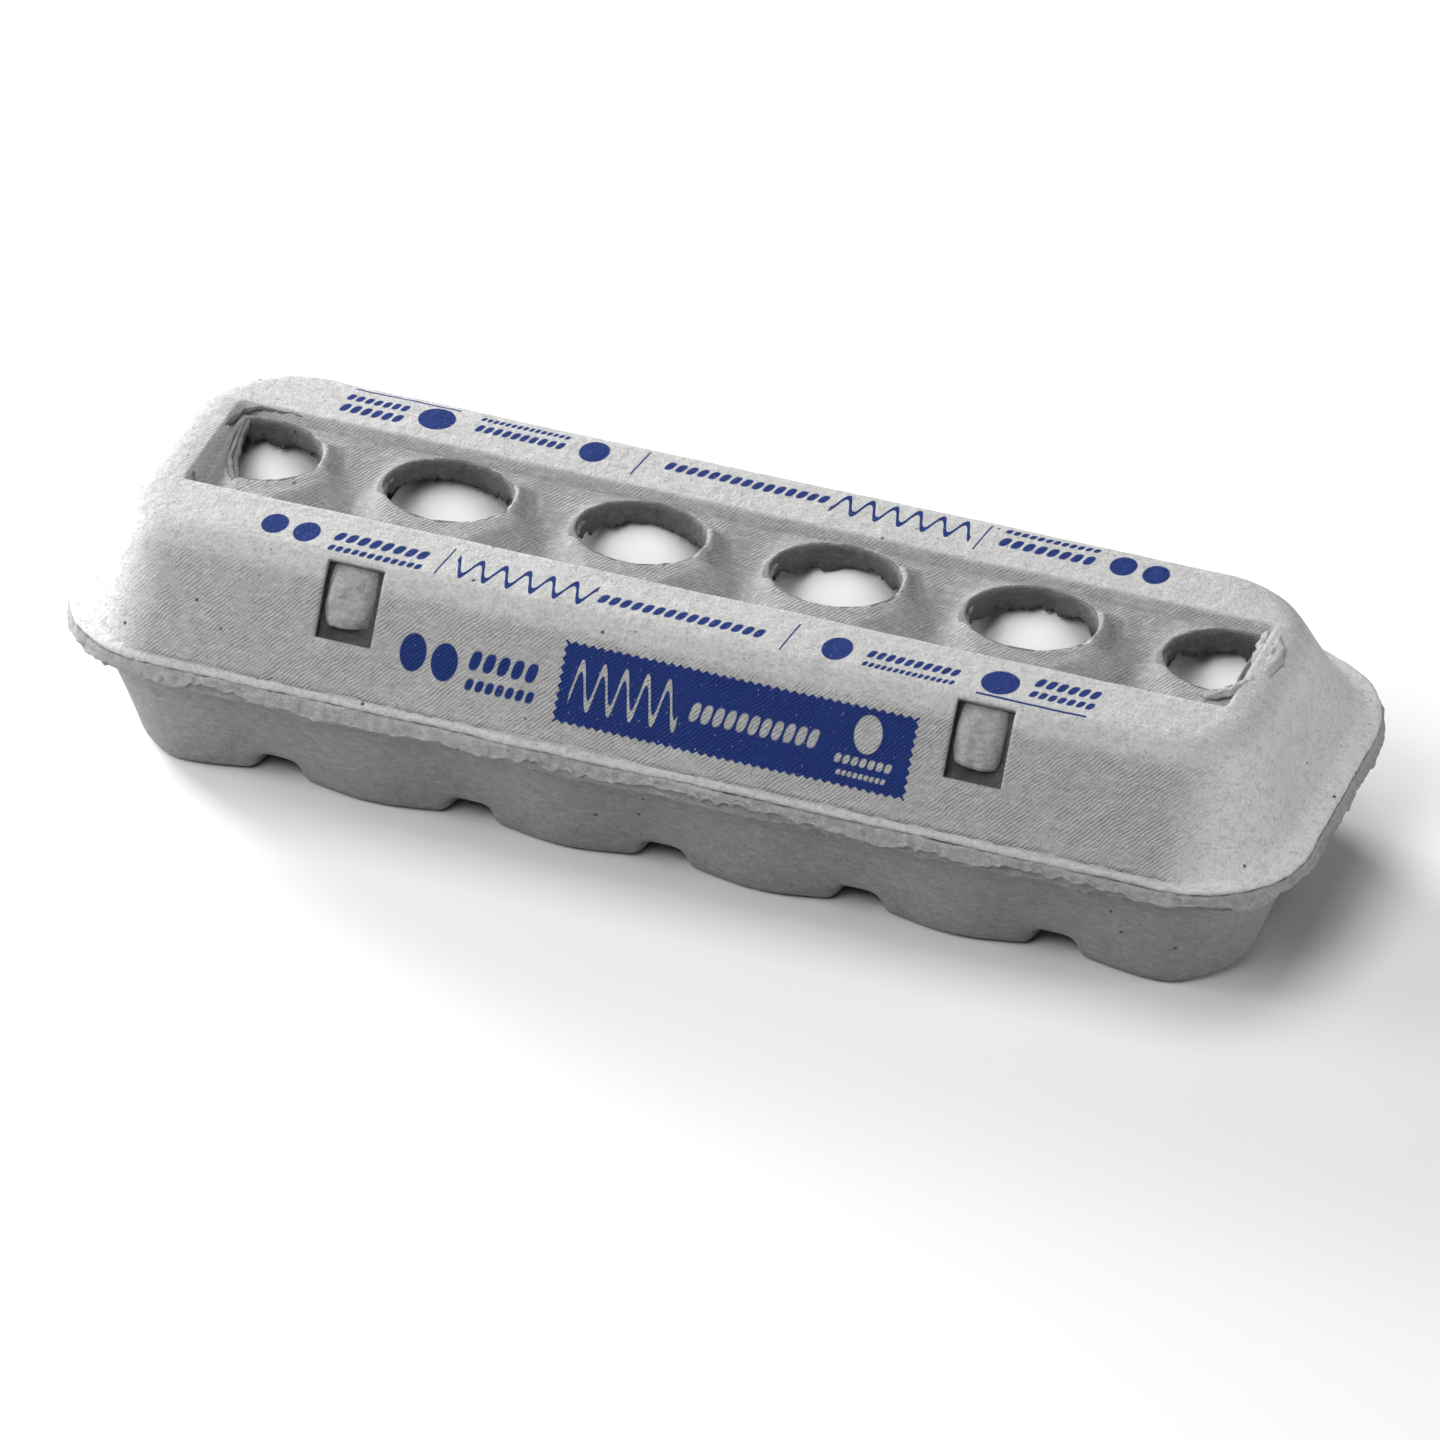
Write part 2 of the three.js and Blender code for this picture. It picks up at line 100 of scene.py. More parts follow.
# Repeatable smooth noise.
def lattice(ix, iy, iz, seed):
    h = ix * 374761393 + iy * 668265263 + iz * 2147483647 + seed * 974634777
    h = (h ^ (h >> 13)) * 1274126177
    h = h ^ (h >> 16)
    return (h & 0xFFFF) / 0xFFFF * 2.0 - 1.0


def noise(points, scale, seed):
    """Values from -1 to 1 that vary over about scale millimetres."""
    p = np.asarray(points, float) / scale
    base = np.floor(p).astype(np.int64)
    f = p - base
    f = f * f * (3 - 2 * f)
    total = np.zeros(len(p))
    for dx in (0, 1):
        for dy in (0, 1):
            for dz in (0, 1):
                w = np.abs(1 - dx - f[:, 0]) * np.abs(1 - dy - f[:, 1]) * np.abs(1 - dz - f[:, 2])
                total += w * lattice(base[:, 0] + dx, base[:, 1] + dy, base[:, 2] + dz, seed)
    return total


def unevenness(points, seed):
    """The small waves and grain of a dried pulp surface, in millimetres."""
    return (
        0.16 * noise(points, 14.0, seed)
        + 0.10 * noise(points, 6.0, seed + 1)
        + 0.055 * noise(points, 2.6, seed + 2)
    )


def make_object(name, vertices, faces, materials, face_materials=None, smooth=True):
    mesh = bpy.data.meshes.new(name)
    mesh.from_pydata((np.asarray(vertices, float) * MM).tolist(), [], [tuple(f) for f in faces])
    mesh.validate()
    for material in materials:
        mesh.materials.append(material)
    if face_materials is not None:
        mesh.polygons.foreach_set("material_index", np.asarray(face_materials, np.int32))
    mesh.polygons.foreach_set("use_smooth", [smooth] * len(mesh.polygons))
    mesh.update()
    made = bpy.data.objects.new(name, mesh)
    bpy.context.scene.collection.objects.link(made)
    return made


def grid_faces(rows, count):
    """The faces of rows of count points each."""
    return [(j * count + i, j * count + i + 1, (j + 1) * count + i + 1, (j + 1) * count + i)
            for j in range(rows - 1) for i in range(count - 1)]


def tube_faces(rows, count, first=0):
    """The faces of rows of count points each, closed across, from point number first."""
    faces = []
    for row in range(rows - 1):
        for k in range(count):
            a, b = (first + row * count + i for i in (k, (k + 1) % count))
            faces.append((a, b, b + count, a + count))
    return faces


def ring_faces(rows, count):
    """The same, closed along as well."""
    last = (rows - 1) * count
    closing = [(last + k, last + (k + 1) % count, (k + 1) % count, k) for k in range(count)]
    return tube_faces(rows, count) + closing


def join(objects, name):
    for other in bpy.context.selected_objects:
        other.select_set(False)
    for piece in objects:
        piece.select_set(True)
    bpy.context.view_layer.objects.active = objects[0]
    bpy.ops.object.join()
    joined = bpy.context.view_layer.objects.active
    joined.name = name
    joined.data.name = name
    return joined


# Outlines.
def corner_radii(inset):
    return tuple(radius - 0.55 * inset for radius in RIM_RADII)


def rounded_outline(half_x, half_y, radii, long_steps, short_steps, arc_steps):
    """Points of a rounded rectangle, anticlockwise. radii are the front and back corners'."""
    front, back = radii
    corners = ((1, -1, front, -90), (1, 1, back, 0), (-1, 1, back, 90), (-1, -1, front, 180))
    arcs = []
    for sx, sy, radius, start in corners:
        cx, cy = sx * (half_x - radius), sy * (half_y - radius)
        angles = [math.radians(start + 90 * k / arc_steps) for k in range(arc_steps + 1)]
        arcs.append([(cx + radius * math.cos(a), cy + radius * math.sin(a)) for a in angles])
    points = []
    for index, arc in enumerate(arcs):
        points += arc
        begin, end = arc[-1], arcs[(index + 1) % 4][0]
        steps = long_steps if index % 2 else short_steps
        for k in range(1, steps):
            share = k / steps
            points.append(tuple(b + (e - b) * share for b, e in zip(begin, end)))
    return np.array(points)


# The lid's end walls are steeper than its side walls and stand on a wider flange: inset at
# the sides, inset at the ends, radius of the front and of the back corners.
LID_ENDS = np.array((
    (-2.0, -2.0, *RIM_RADII),
    (0.0, 0.0, *RIM_RADII),
    (0.1, 0.3, *RIM_RADII),
    (1.1, 3.6, 25.4, 32.5),
    (WALL_START_INSET, 4.6, 24.8, 33.0),
    (wall_inset(56.0), 11.0, 18.9, 27.5),
    (15.3, 13.2, 17.6, 25.5),
    (17.2, 15.8, 16.5, 23.5),
    (19.8, 19.0, 15.1, 21.0),
    (50.0, 49.0, 1.0, 1.0),
))


def lid_level(inset):
    """Half length, half width, middle, front and back corner radius of the lid's outline."""
    end, front, back = (np.interp(inset, LID_ENDS[:, 0], LID_ENDS[:, k]) for k in (1, 2, 3))
    middle = FEATURE_SHIFT * np.clip(inset / WALL_START_INSET, 0, 1)
    return RIM_HALF_LENGTH - end, RIM_HALF_WIDTH - inset, middle, front, back


def inset_at(x, y):
    """How far inside the rim each point lies, along the lid's nested outlines."""
    low, high = np.full_like(x, -1.0), np.full_like(x, 40.0)
    for _ in range(28):
        middle = (low + high) / 2
        half_x, half_y, shift, front, back = lid_level(middle)
        radius = np.maximum(np.where(y < 0, front, back), 1.0)
        qx = np.abs(x - shift) - half_x + radius
        qy = np.abs(y) - half_y + radius
        outside = np.hypot(np.maximum(qx, 0), np.maximum(qy, 0))
        distance = outside + np.minimum(np.maximum(qx, qy), 0) - radius
        inner = distance < 0
        low, high = np.where(inner, middle, low), np.where(inner, high, middle)
    return (low + high) / 2


LID_PROFILE = (
    (-2.0, 32.0),
    (1.1, 37.0),
    (WALL_START_INSET, WALL_START),
    (wall_inset(56.0), 56.0),
    (15.3, 60.4),
    (17.2, 62.2),
    (19.8, 62.9),
    (24.0, TOTAL_HEIGHT),
    (60.0, TOTAL_HEIGHT),
)


def smooth_profile(rows, blur=0.9, step=0.05):
    """The profile's height over inset, with its corners rounded."""
    insets, heights = np.array(rows).T
    grid = np.arange(insets[0], insets[-1], step)
    line = np.interp(grid, insets, heights)
    reach = int(4 * blur / step)
    kernel = np.exp(-0.5 * (np.arange(-reach, reach + 1) * step / blur) ** 2)
    padded = np.pad(line, reach, mode="edge")
    return grid, np.convolve(padded, kernel / kernel.sum(), mode="valid")


PROFILE_INSET, PROFILE_HEIGHT = smooth_profile(LID_PROFILE)


def smoothstep(low, high, value):
    t = np.clip((value - low) / (high - low), 0, 1)
    return t * t * (3 - 2 * t)


def window_cut(y):
    """Where a fold cuts off the first window's left end, along the channel."""
    return np.interp(y, (-11.0, -3.3, 8.8, 14.0), (-115.5, -119.5, -121.9, WINDOWS_FROM))


def window_distance(x, y):
    """Oval distance to the nearest window, 1 on its edge."""
    best = np.full_like(x, 9.0)
    for column in range(COLUMNS):
        u = (x - window_x(column)) / WINDOW_HALF_LENGTH
        v = (y - WINDOW_Y) / WINDOW_HALF_WIDTH
        best = np.minimum(best, np.hypot(u, v))
    return best


def plane(*corners):
    """The plane through three points, as a function of x and y."""
    places = np.array(corners, float)
    a, b, c = np.linalg.solve(np.column_stack([np.ones(3), places[:, :2]]), places[:, 2])
    return lambda x, y: a + b * x + c * y


def lower_of(a, b, soft=0.3):
    """The lower of two surfaces, with their crease a little rounded."""
    return -soft * np.logaddexp(-a / soft, -b / soft)


def higher_of(a, b, soft=0.3):
    return soft * np.logaddexp(a / soft, b / soft)


# Between two windows the channel's back slope ends in a ridge, with a steep facet below it
# and a facet that rises to the next window. Places count from the window on the left.
DIP_X = 25.7
RIDGE = (DIP_X, -2.0, 58.6)
DIP_FOOT = (DIP_X + 1.0, -14.0, 52.8)
STEEP_FACET = plane((12.0, -12.5, WINDOW_RIM), RIDGE, DIP_FOOT)
RISING_FACET = plane((38.0, -13.0, WINDOW_RIM), RIDGE, DIP_FOOT)
END_FACET = plane((-123.0, -14.0, 56.0), (-124.0, 4.0, 59.3), (-115.5, -12.0, WINDOW_RIM))


def channel_floor(x, y):
    edge = CHANNEL_HALF_WIDTH - np.abs(y)
    step = (CHANNEL_EDGE - WINDOW_RIM) * smoothstep(0.0, np.where(y > 0, 1.1, 2.2), edge)
    between = np.zeros_like(x)
    for column in range(COLUMNS - 1):
        u = (x - window_x(column) - DIP_X) / 9.0
        between = np.maximum(between, smoothstep(1.0, 0.15, np.abs(u)))
    slope = CHANNEL_EDGE - step - 2.7 * between * np.clip((16.0 - y) / 18.0, 0, 1)
    floor = slope - 0.5 * smoothstep(1.3, 0.5, np.abs(edge - 1.5))
    for column in range(COLUMNS - 1):
        u = x - window_x(column)
        facets = higher_of(STEEP_FACET(u, y), RISING_FACET(u, y))
        floor = np.where((u > 4) & (u < 43), lower_of(floor, facets), floor)
    floor = np.where(x < -108, lower_of(floor, END_FACET(x, y)), floor)
    front_wall = CHANNEL_EDGE - 3.4 * (y + CHANNEL_HALF_WIDTH)
    floor = higher_of(floor, front_wall, 0.15)
    lip = 0.35 * smoothstep(0.16, 0.0, np.abs(window_distance(x, y) - 1.05))
    return np.minimum(floor + lip, CHANNEL_EDGE)


FOLD_REACH = 16.4  # from a window's middle to the crumpled fold at its right end
WINDOW_FOLDS = ((2, 8, 1.0), (1, 8, 1.3), (-1, 7, 1.6), (2, 9, 1.4), (-1, 8, 1.9))  # low, high, height


def window_folds(x, y):
    """The small crumpled folds at the windows' right ends, each with a dimple beside it."""
    height = np.zeros_like(x)
    for column, (low, high, tall) in enumerate(WINDOW_FOLDS):
        bent = window_x(column) + FOLD_REACH - 0.04 * (y - 2) ** 2
        along = smoothstep(low - 2.0, low, y) * smoothstep(high + 2.0, high, y)
        off = x - bent
        height += tall * along * np.exp(-(off / 0.9) ** 2)
        height -= 1.3 * tall * along * np.exp(-((off - 3.0) / 1.5) ** 2)
    return height


def grid_lines(fixed, step):
    """Lines through every fixed value with about step between them."""
    lines = []
    for a, b in zip(fixed[:-1], fixed[1:]):
        count = max(1, round((b - a) / step))
        lines += [a + (b - a) * k / count for k in range(count)]
    return np.array(lines + [fixed[-1]])


LID_STEP = 0.92
LID_START = 0.9  # the skin's edge, hidden in the rim's bead
SLOT_XS = [side * SLOT_X + FEATURE_SHIFT + end * SLOT_WIDTH / 2
           for side in (-1, 1) for end in (-1, 1)]


def lid_plan():
    """The skin's grid in plan, with lines on every edge of an opening."""
    end = RIM_HALF_LENGTH - LID_START
    fixed_x = sorted([-end, end, -120.5, 120.5, WINDOWS_FROM, WINDOWS_TO] + SLOT_XS
                     + [s * CHANNEL_HALF_LENGTH + d for s in (-1, 1) for d in (-0.45, 0.45)])
    edge = CHANNEL_HALF_WIDTH
    wide = RIM_HALF_WIDTH - LID_START
    fixed_y = [-wide, SLOT_LOW_Y, SLOT_HIGH_Y, -edge - 0.45, -edge + 0.45, -15.0, 15.0,
               edge - 0.45, edge + 0.45, -SLOT_HIGH_Y, wide]
    xs = grid_lines(fixed_x, LID_STEP)
    rows = grid_lines(fixed_y, LID_STEP)
    halves = []
    for rim_radius in RIM_RADII:
        past = np.maximum(np.abs(xs) - (RIM_HALF_LENGTH - rim_radius), 0)
        radius = rim_radius - LID_START
        reach = np.sqrt(np.maximum(radius**2 - np.minimum(past, radius) ** 2, 0))
        halves.append(wide - radius + reach)
    x, r = np.meshgrid(xs, rows, indexing="ij")
    half = np.where(r < 0, halves[0][:, None], halves[1][:, None])
    return x, r * half / wide


def lid_skin(materials):
    x, y = lid_plan()
    shape = x.shape
    px, py = x.ravel().copy(), y.ravel().copy()
    inset = inset_at(px, py)
    wall = np.interp(inset, PROFILE_INSET, PROFILE_HEIGHT)
    rho = window_distance(px, py)
    in_channel = (np.abs(px) <= CHANNEL_HALF_LENGTH) & (np.abs(py) <= CHANNEL_HALF_WIDTH)
    floor = channel_floor(px, py) + window_folds(px, py)
    z = np.where(in_channel, np.minimum(wall, floor), wall)

    # Cells over the windows and slots are open, and the windows' edges are true ovals.
    index = np.arange(px.size).reshape(shape)
    corners = [index[:-1, :-1], index[1:, :-1], index[1:, 1:], index[:-1, 1:]]
    quads = np.stack(corners, -1).reshape(-1, 4)
    cut = window_cut(py)
    hole = (rho < 1) & (px > cut - 0.01) & (px < WINDOWS_TO + 0.01)
    middle_x, middle_y = px[quads].mean(1), py[quads].mean(1)
    open_cell = hole[quads].all(1) & (middle_x > window_cut(middle_y)) & (middle_x < WINDOWS_TO)
    for side in (-1, 1):
        near = np.abs(middle_x - side * SLOT_X - FEATURE_SHIFT) < SLOT_WIDTH / 2
        open_cell |= near & (middle_y > SLOT_LOW_Y) & (middle_y < SLOT_HIGH_Y)
    kept = quads[~open_cell]
    used = np.zeros(px.size, bool)
    used[kept.ravel()] = True
    snap = used & hole & (rho > 0.9) & (px > cut + 0.5) & (px < WINDOWS_TO - 0.01)
    nearest = np.round((px - window_x(0)) / PITCH)
    centre = window_x(np.clip(nearest, 0, COLUMNS - 1))
    px = np.where(snap, centre + (px - centre) / np.maximum(rho, 0.01), px)
    py = np.where(snap, WINDOW_Y + (py - WINDOW_Y) / np.maximum(rho, 0.01), py)

    top = np.stack([px, py, z], 1)
    grid = top.reshape(*shape, 3)
    gx = np.gradient(grid, axis=0).reshape(-1, 3)
    gy = np.gradient(grid, axis=1).reshape(-1, 3)
    normal = np.cross(gx, gy)
    normal /= np.maximum(np.linalg.norm(normal, axis=1), 1e-9)[:, None]
    top = top + normal * unevenness(top, LID_SEED)[:, None]
    bottom = top - normal * PULP
    return closed_shell("lid_skin", top, bottom, kept, materials)


def closed_shell(name, top, bottom, quads, materials):
    """A sheet with two faces: the first material above, the second below and on the edges."""
    used = np.unique(quads)
    renumber = np.full(len(top), -1)
    renumber[used] = np.arange(len(used))
    quads = renumber[quads]
    count = len(used)
    vertices = np.vstack([top[used], bottom[used]])
    edges = np.concatenate([quads[:, [k, (k + 1) % 4]] for k in range(4)])
    key = edges[:, 0] * count + edges[:, 1]
    back_key = edges[:, 1] * count + edges[:, 0]
    border = edges[~np.isin(key, back_key)]
    rim = np.stack([border[:, 1], border[:, 0], border[:, 0] + count, border[:, 1] + count], 1)
    faces = np.vstack([quads, quads[:, ::-1] + count, rim])
    kinds = np.concatenate([np.zeros(len(quads)), np.ones(len(quads) + len(rim))])
    return make_object(name, vertices, faces.tolist(), materials, kinds)


SWEEP_STEPS = (480, 90, 66)  # along the sides, the ends and each corner
HINGE_GAP = 1.0  # how far the rims stay in from the hinge's line


def tray_rim_outline(inset):
    return rounded_outline(
        RIM_HALF_LENGTH - inset, RIM_HALF_WIDTH - inset, corner_radii(inset), *SWEEP_STEPS)


def torn_outline(inset):
    """The torn layer's outline, drawn in along the hinge."""
    points = tray_rim_outline(inset)
    points[:, 1] -= 1.4 * smoothstep(40.0, 46.0, points[:, 1])
    return points


def lid_outline(inset):
    half_x, half_y, middle, front, back = lid_level(inset)
    return rounded_outline(half_x, half_y, (front, back), *SWEEP_STEPS) + [middle, 0]


def sweep(name, outline_at, section, ragged, materials, seed, rough=0.1):
    """A closed band round the carton. section holds rows of inset, height and how far the
    ragged edge moves that row. ragged is that edge's unevenness and rough the surface's, both
    in millimetres."""
    rings = []
    for inset, z, share in section:
        outline = outline_at(inset)
        rings.append(np.column_stack([outline, np.full(len(outline), z)]))
    count = len(rings[0])
    reference = rings[0]
    along = reference * [1, 1, 0]
    torn = smoothstep(-0.1, 0.5, noise(along, 21.0, seed + 8))
    shreds = 0.7 * noise(along, 3.4, seed + 1) + 0.6 * noise(along, 1.3, seed + 2)
    rag = 1.2 * noise(along, 13.0, seed) + (0.5 + 1.1 * torn) * shreds
    rag -= 1.5 * np.maximum(noise(along, 0.8, seed + 9) - 0.62, 0) * torn  # loose fibres
    rag = ragged * np.clip(rag, -2.2, 0.9)
    corner = np.hypot(along[:, 0] - 143.0, along[:, 1] + 45.0)
    rag -= ragged * 2.0 * smoothstep(9.0, 4.0, corner)  # the torn corner hangs lower
    outward = along / np.linalg.norm(along, axis=1)[:, None]
    wobble = 0.35 * noise(reference, 16.0, seed + 3) + 0.2 * noise(reference, 5.0, seed + 4)
    vertices = []
    for (inset, z, share), ring in zip(section, rings):
        ring = ring[:count].copy()
        ring[:, 2] += rag * share
        ring += outward * (wobble * (0.4 + 0.6 * share))[:, None]
        ring[:, 1] -= HINGE_GAP * smoothstep(40.0, 46.0, ring[:, 1])
        vertices.append(ring)
    flat = np.vstack(vertices)
    flat = flat + rough * np.column_stack([noise(flat, 1.6, seed + k) for k in (5, 6, 7)])
    return make_object(name, flat, ring_faces(len(section), count), materials)


# Closed bodies for cutting.
def loft(rings):
    count = len(rings[0])
    vertices = np.vstack(rings + [rings[0].mean(0)[None], rings[-1].mean(0)[None]])
    faces = tube_faces(len(rings), count)
    low, high = len(rings) * count, len(rings) * count + 1
    last = (len(rings) - 1) * count
    for k in range(count):
        after = (k + 1) % count
        faces.append((after, k, low))
        faces.append((last + k, last + after, high))
    return make_object("body", vertices, faces, [])


def apply_modifier(target, kind, **values):
    modifier = target.modifiers.new(kind, kind)
    for key, value in values.items():
        setattr(modifier, key, value)
    bpy.context.view_layer.objects.active = target
    bpy.ops.object.modifier_apply(modifier=modifier.name)


def boolean(target, tool, operation):
    apply_modifier(target, "BOOLEAN", operation=operation, object=tool, solver="MANIFOLD")
    bpy.data.objects.remove(tool)
    return target


def box(low, high):
    (x0, y0, z0), (x1, y1, z1) = low, high
    ring = np.array([(x0, y0), (x1, y0), (x1, y1), (x0, y1)], float)
    return loft([np.column_stack([ring, np.full(4, z)]) for z in (z0, z1)])


def tray_inset(z):
    share = min(1.0, max(0.0, z / RIM_HEIGHT))
    return TRAY_FOOT_INSET + (TRAY_TOP_INSET - TRAY_FOOT_INSET) * share**1.15


def tray_ring(inset, z, deeper):
    radii = (26 - 0.75 * (inset + deeper), 29 - 0.75 * (inset + deeper))
    half_y = RIM_HALF_WIDTH - inset - deeper
    outline = rounded_outline(RIM_HALF_LENGTH - inset - deeper, half_y, radii, 1, 1, 14)
    # The long sides are cut into steps of their own, equally many at each height.
    points = []
    for k, (x, y) in enumerate(outline):
        points.append((x, y))
        after = outline[(k + 1) % len(outline)]
        if abs(after[0] - x) > 60:
            steps = 120
            points += [(x + (after[0] - x) * s / steps, y) for s in range(1, steps)]
    points = np.array(points)
    level = max(0.0, 1 - (z / RIM_HEIGHT) ** 2)
    wave = 0.5 + 0.5 * np.cos(2 * np.pi * (points[:, 0] - cup_x(0)) / PITCH)
    side = np.minimum(1, np.abs(points[:, 1]) / half_y) ** 8
    points[:, 1] += np.sign(points[:, 1]) * SCALLOP * level * wave * side
    return np.column_stack([points, np.full(len(points), z)])


CUP_OUTSIDE = (
    (0, 17.4, 18.4, 15.6, 3.6),
    (0.9, 18.7, 20.2, 16.9, 3.6),
    (2.4, 19.4, 21.1, 17.8, 3.6),
    (21, 25.4, 27, 23.6, 3.0),
)
CUP_INSIDE = (
    (PULP + 0.1, 15, 17, 13.4, 3.4),
    (3.8, 17.5, 21, 15.8, 3.4),
    (17, 22.8, 27, 20.8, 3.0),
    (50, 26.4, 30, 25, 2.4),
)


def cup_body(column, side, rows, sides=56):
    rings = []
    for z, half_x, outer, inner, power in rows:
        angle = np.linspace(0, 2 * np.pi, sides, endpoint=False)
        c, s = np.cos(angle), np.sin(angle)
        reach = np.where(s * side > 0, outer, inner)
        x = cup_x(column) + half_x * np.sign(c) * np.abs(c) ** (2 / power)
        y = side * ROW_Y + reach * np.sign(s) * np.abs(s) ** (2 / power)
        rings.append(np.column_stack([x, y, np.full(sides, float(z))]))
    return loft(rings)


def post_body(x, rows, sides=20):
    rings = []
    for radius, z in rows:
        angle = np.linspace(0, 2 * np.pi, sides, endpoint=False)
        rings.append(np.column_stack(
            [x + radius * np.cos(angle), radius * np.sin(angle), np.full(sides, float(z))]))
    return loft(rings)


PAST_END, PAST_SIDE = 160, 60  # beyond the carton, for cutting bodies
RIDGE_LOW, RIDGE_HIGH, RIDGE_HALF_WIDTH = 16.3, 21, 4.5
POST = ((11, 17), (9, 30), (6.5, 43.5), (4.6, 46))  # radius and height
POST_BORE = ((5, -1), (4.6, 20), (3, 40), (2.2, 43.6))


def tray_body():
    heights = [0, 0.9, 2.4] + list(np.linspace(6, RIM_HEIGHT, 9))
    foot = [1.6, 0.5, 0] + [0] * 9
    outside = loft([tray_ring(tray_inset(z) + f, z, 0) for z, f in zip(heights, foot)])
    shell_inner, inside = (loft([tray_ring(tray_inset(z), z, WALL_INSET) for z in levels])
                           for levels in ([-1] + heights[1:] + [40], [PULP] + heights[3:] + [54]))

    wall = outside.copy()
    wall.data = outside.data.copy()
    bpy.context.scene.collection.objects.link(wall)
    boolean(wall, shell_inner, "DIFFERENCE")
    above_notch = box((-PAST_END, -PAST_SIDE, NOTCH_TOP), (PAST_END, PAST_SIDE, RIM_HEIGHT))
    boolean(wall, above_notch, "INTERSECT")

    low, high, half = RIDGE_LOW, RIDGE_HIGH, RIDGE_HALF_WIDTH
    tray = box((-PAST_END, -half, low), (PAST_END, half, high))
    for border in range(1, COLUMNS):
        x = cup_x(border) - PITCH / 2
        boolean(tray, box((x - half, -PAST_SIDE, low), (x + half, PAST_SIDE, high)), "UNION")
    for column in range(COLUMNS):
        for side in (-1, 1):
            boolean(tray, cup_body(column, side, CUP_OUTSIDE), "UNION")
    boolean(tray, outside, "INTERSECT")
    boolean(tray, wall, "UNION")
    for border in range(1, COLUMNS):
        x = cup_x(border) - PITCH / 2
        boolean(tray, post_body(x, POST), "UNION")
        boolean(tray, post_body(x, POST_BORE), "DIFFERENCE")
    hollows = cup_body(0, -1, CUP_INSIDE)
    for column in range(COLUMNS):
        for side in (-1, 1):
            if (column, side) != (0, -1):
                boolean(hollows, cup_body(column, side, CUP_INSIDE), "UNION")
    boolean(hollows, inside, "INTERSECT")
    boolean(tray, hollows, "DIFFERENCE")
    return tray


def soften(target, voxel, rounds):
    """An even, slightly rounded mesh of the same body."""
    apply_modifier(target, "REMESH", mode="VOXEL", voxel_size=voxel * MM, adaptivity=0)
    apply_modifier(target, "SMOOTH", factor=0.5, iterations=rounds)


def roughen(target, seed, strength=1.0):
    mesh = target.data
    count = len(mesh.vertices)
    points = np.empty(count * 3)
    mesh.vertices.foreach_get("co", points)
    points = points.reshape(-1, 3) / MM
    normals = np.empty(count * 3)
    mesh.vertices.foreach_get("normal", normals)
    normals = normals.reshape(-1, 3)
    amount = unevenness(points, seed) * strength
    floor = smoothstep(0.2, 2.0, points[:, 2])  # the feet stay flat
    points = points + normals * (amount * floor)[:, None]
    mesh.vertices.foreach_set("co", (points * MM).ravel())
    mesh.polygons.foreach_set("use_smooth", [True] * len(mesh.polygons))
    mesh.update()


# Materials.
class Shader:
    """A node material with short calls for its maths."""

    def __init__(self, name):
        self.material = bpy.data.materials.new(name)
        self.material.use_nodes = True
        self.tree = self.material.node_tree
        self.tree.nodes.clear()
        self.surface = self.node("BsdfPrincipled")
        self.node("OutputMaterial", self.surface.outputs[0])
        self.place = self.node("TexCoord").outputs["Object"]
        split = self.node("SeparateXYZ", self.place)
        self.x, self.y, self.z = (self.times(split.outputs[k], 1 / MM) for k in range(3))

    def node(self, kind, source=None):
        node = self.tree.nodes.new("ShaderNode" + kind)
        if source is not None:
            self.tree.links.new(source, node.inputs[0])
        return node

    def put(self, socket, value):
        if isinstance(value, (int, float)):
            socket.default_value = value
        elif isinstance(value, tuple):
            socket.default_value = (*value, 1.0)[: len(socket.default_value)]
        else:
            self.tree.links.new(value, socket)

    def set(self, **values):
        """Fixed values of the shader's own sockets."""
        for name, value in values.items():
            self.surface.inputs[name.replace("_", " ")].default_value = value

    def math(self, operation, *values, clamp=False):
        node = self.node("Math")
        node.operation = operation
        node.use_clamp = clamp
        for socket, value in zip(node.inputs, values):
            self.put(socket, value)
        return node.outputs[0]

    def plus(self, a, b):
        return self.math("ADD", a, b)

    def minus(self, a, b):
        return self.math("SUBTRACT", a, b)

    def times(self, a, b):
        return self.math("MULTIPLY", a, b)

    def ramp(self, value, low, high):
        node = self.node("MapRange")
        node.interpolation_type = "SMOOTHSTEP"
        self.put(node.inputs["Value"], value)
        node.inputs["From Min"].default_value = low
        node.inputs["From Max"].default_value = high
        return node.outputs["Result"]

    def noise(self, scale_mm, detail=2.0, rough=0.55, stretch=(1, 1, 1), turn=(0, 0, 0)):
        mapping = self.node("Mapping", self.place)
        mapping.inputs["Rotation"].default_value = turn
        mapping.inputs["Scale"].default_value = stretch
        node = self.node("TexNoise", mapping.outputs[0])
        node.inputs["Scale"].default_value = 1 / (scale_mm * MM)
        node.inputs["Detail"].default_value = detail
        node.inputs["Roughness"].default_value = rough
        return node.outputs["Fac"]

    def specks(self, cell_mm, size, keep):
        """Small spots, about keep of the cells of a scattered pattern holding one."""
        node = self.node("TexVoronoi", self.place)
        node.inputs["Scale"].default_value = 1 / (cell_mm * MM)
        spot = self.ramp(node.outputs["Distance"], size, size * 0.5)
        pick = self.node("SeparateColor", node.outputs["Color"])
        return self.times(spot, self.math("LESS_THAN", pick.outputs[0], keep))

    def mix(self, share, a, b):
        node = self.node("Mix")
        node.data_type = "RGBA"
        self.put(node.inputs["Factor"], share)
        self.put(node.inputs[6], a)
        self.put(node.inputs[7], b)
        return node.outputs[2]

    def bump(self, height, distance_mm, strength=1.0, after=None):
        node = self.node("Bump")
        self.put(node.inputs["Height"], height)
        node.inputs["Distance"].default_value = distance_mm * MM
        node.inputs["Strength"].default_value = strength
        if after is not None:
            self.tree.links.new(after, node.inputs["Normal"])
        return node.outputs["Normal"]


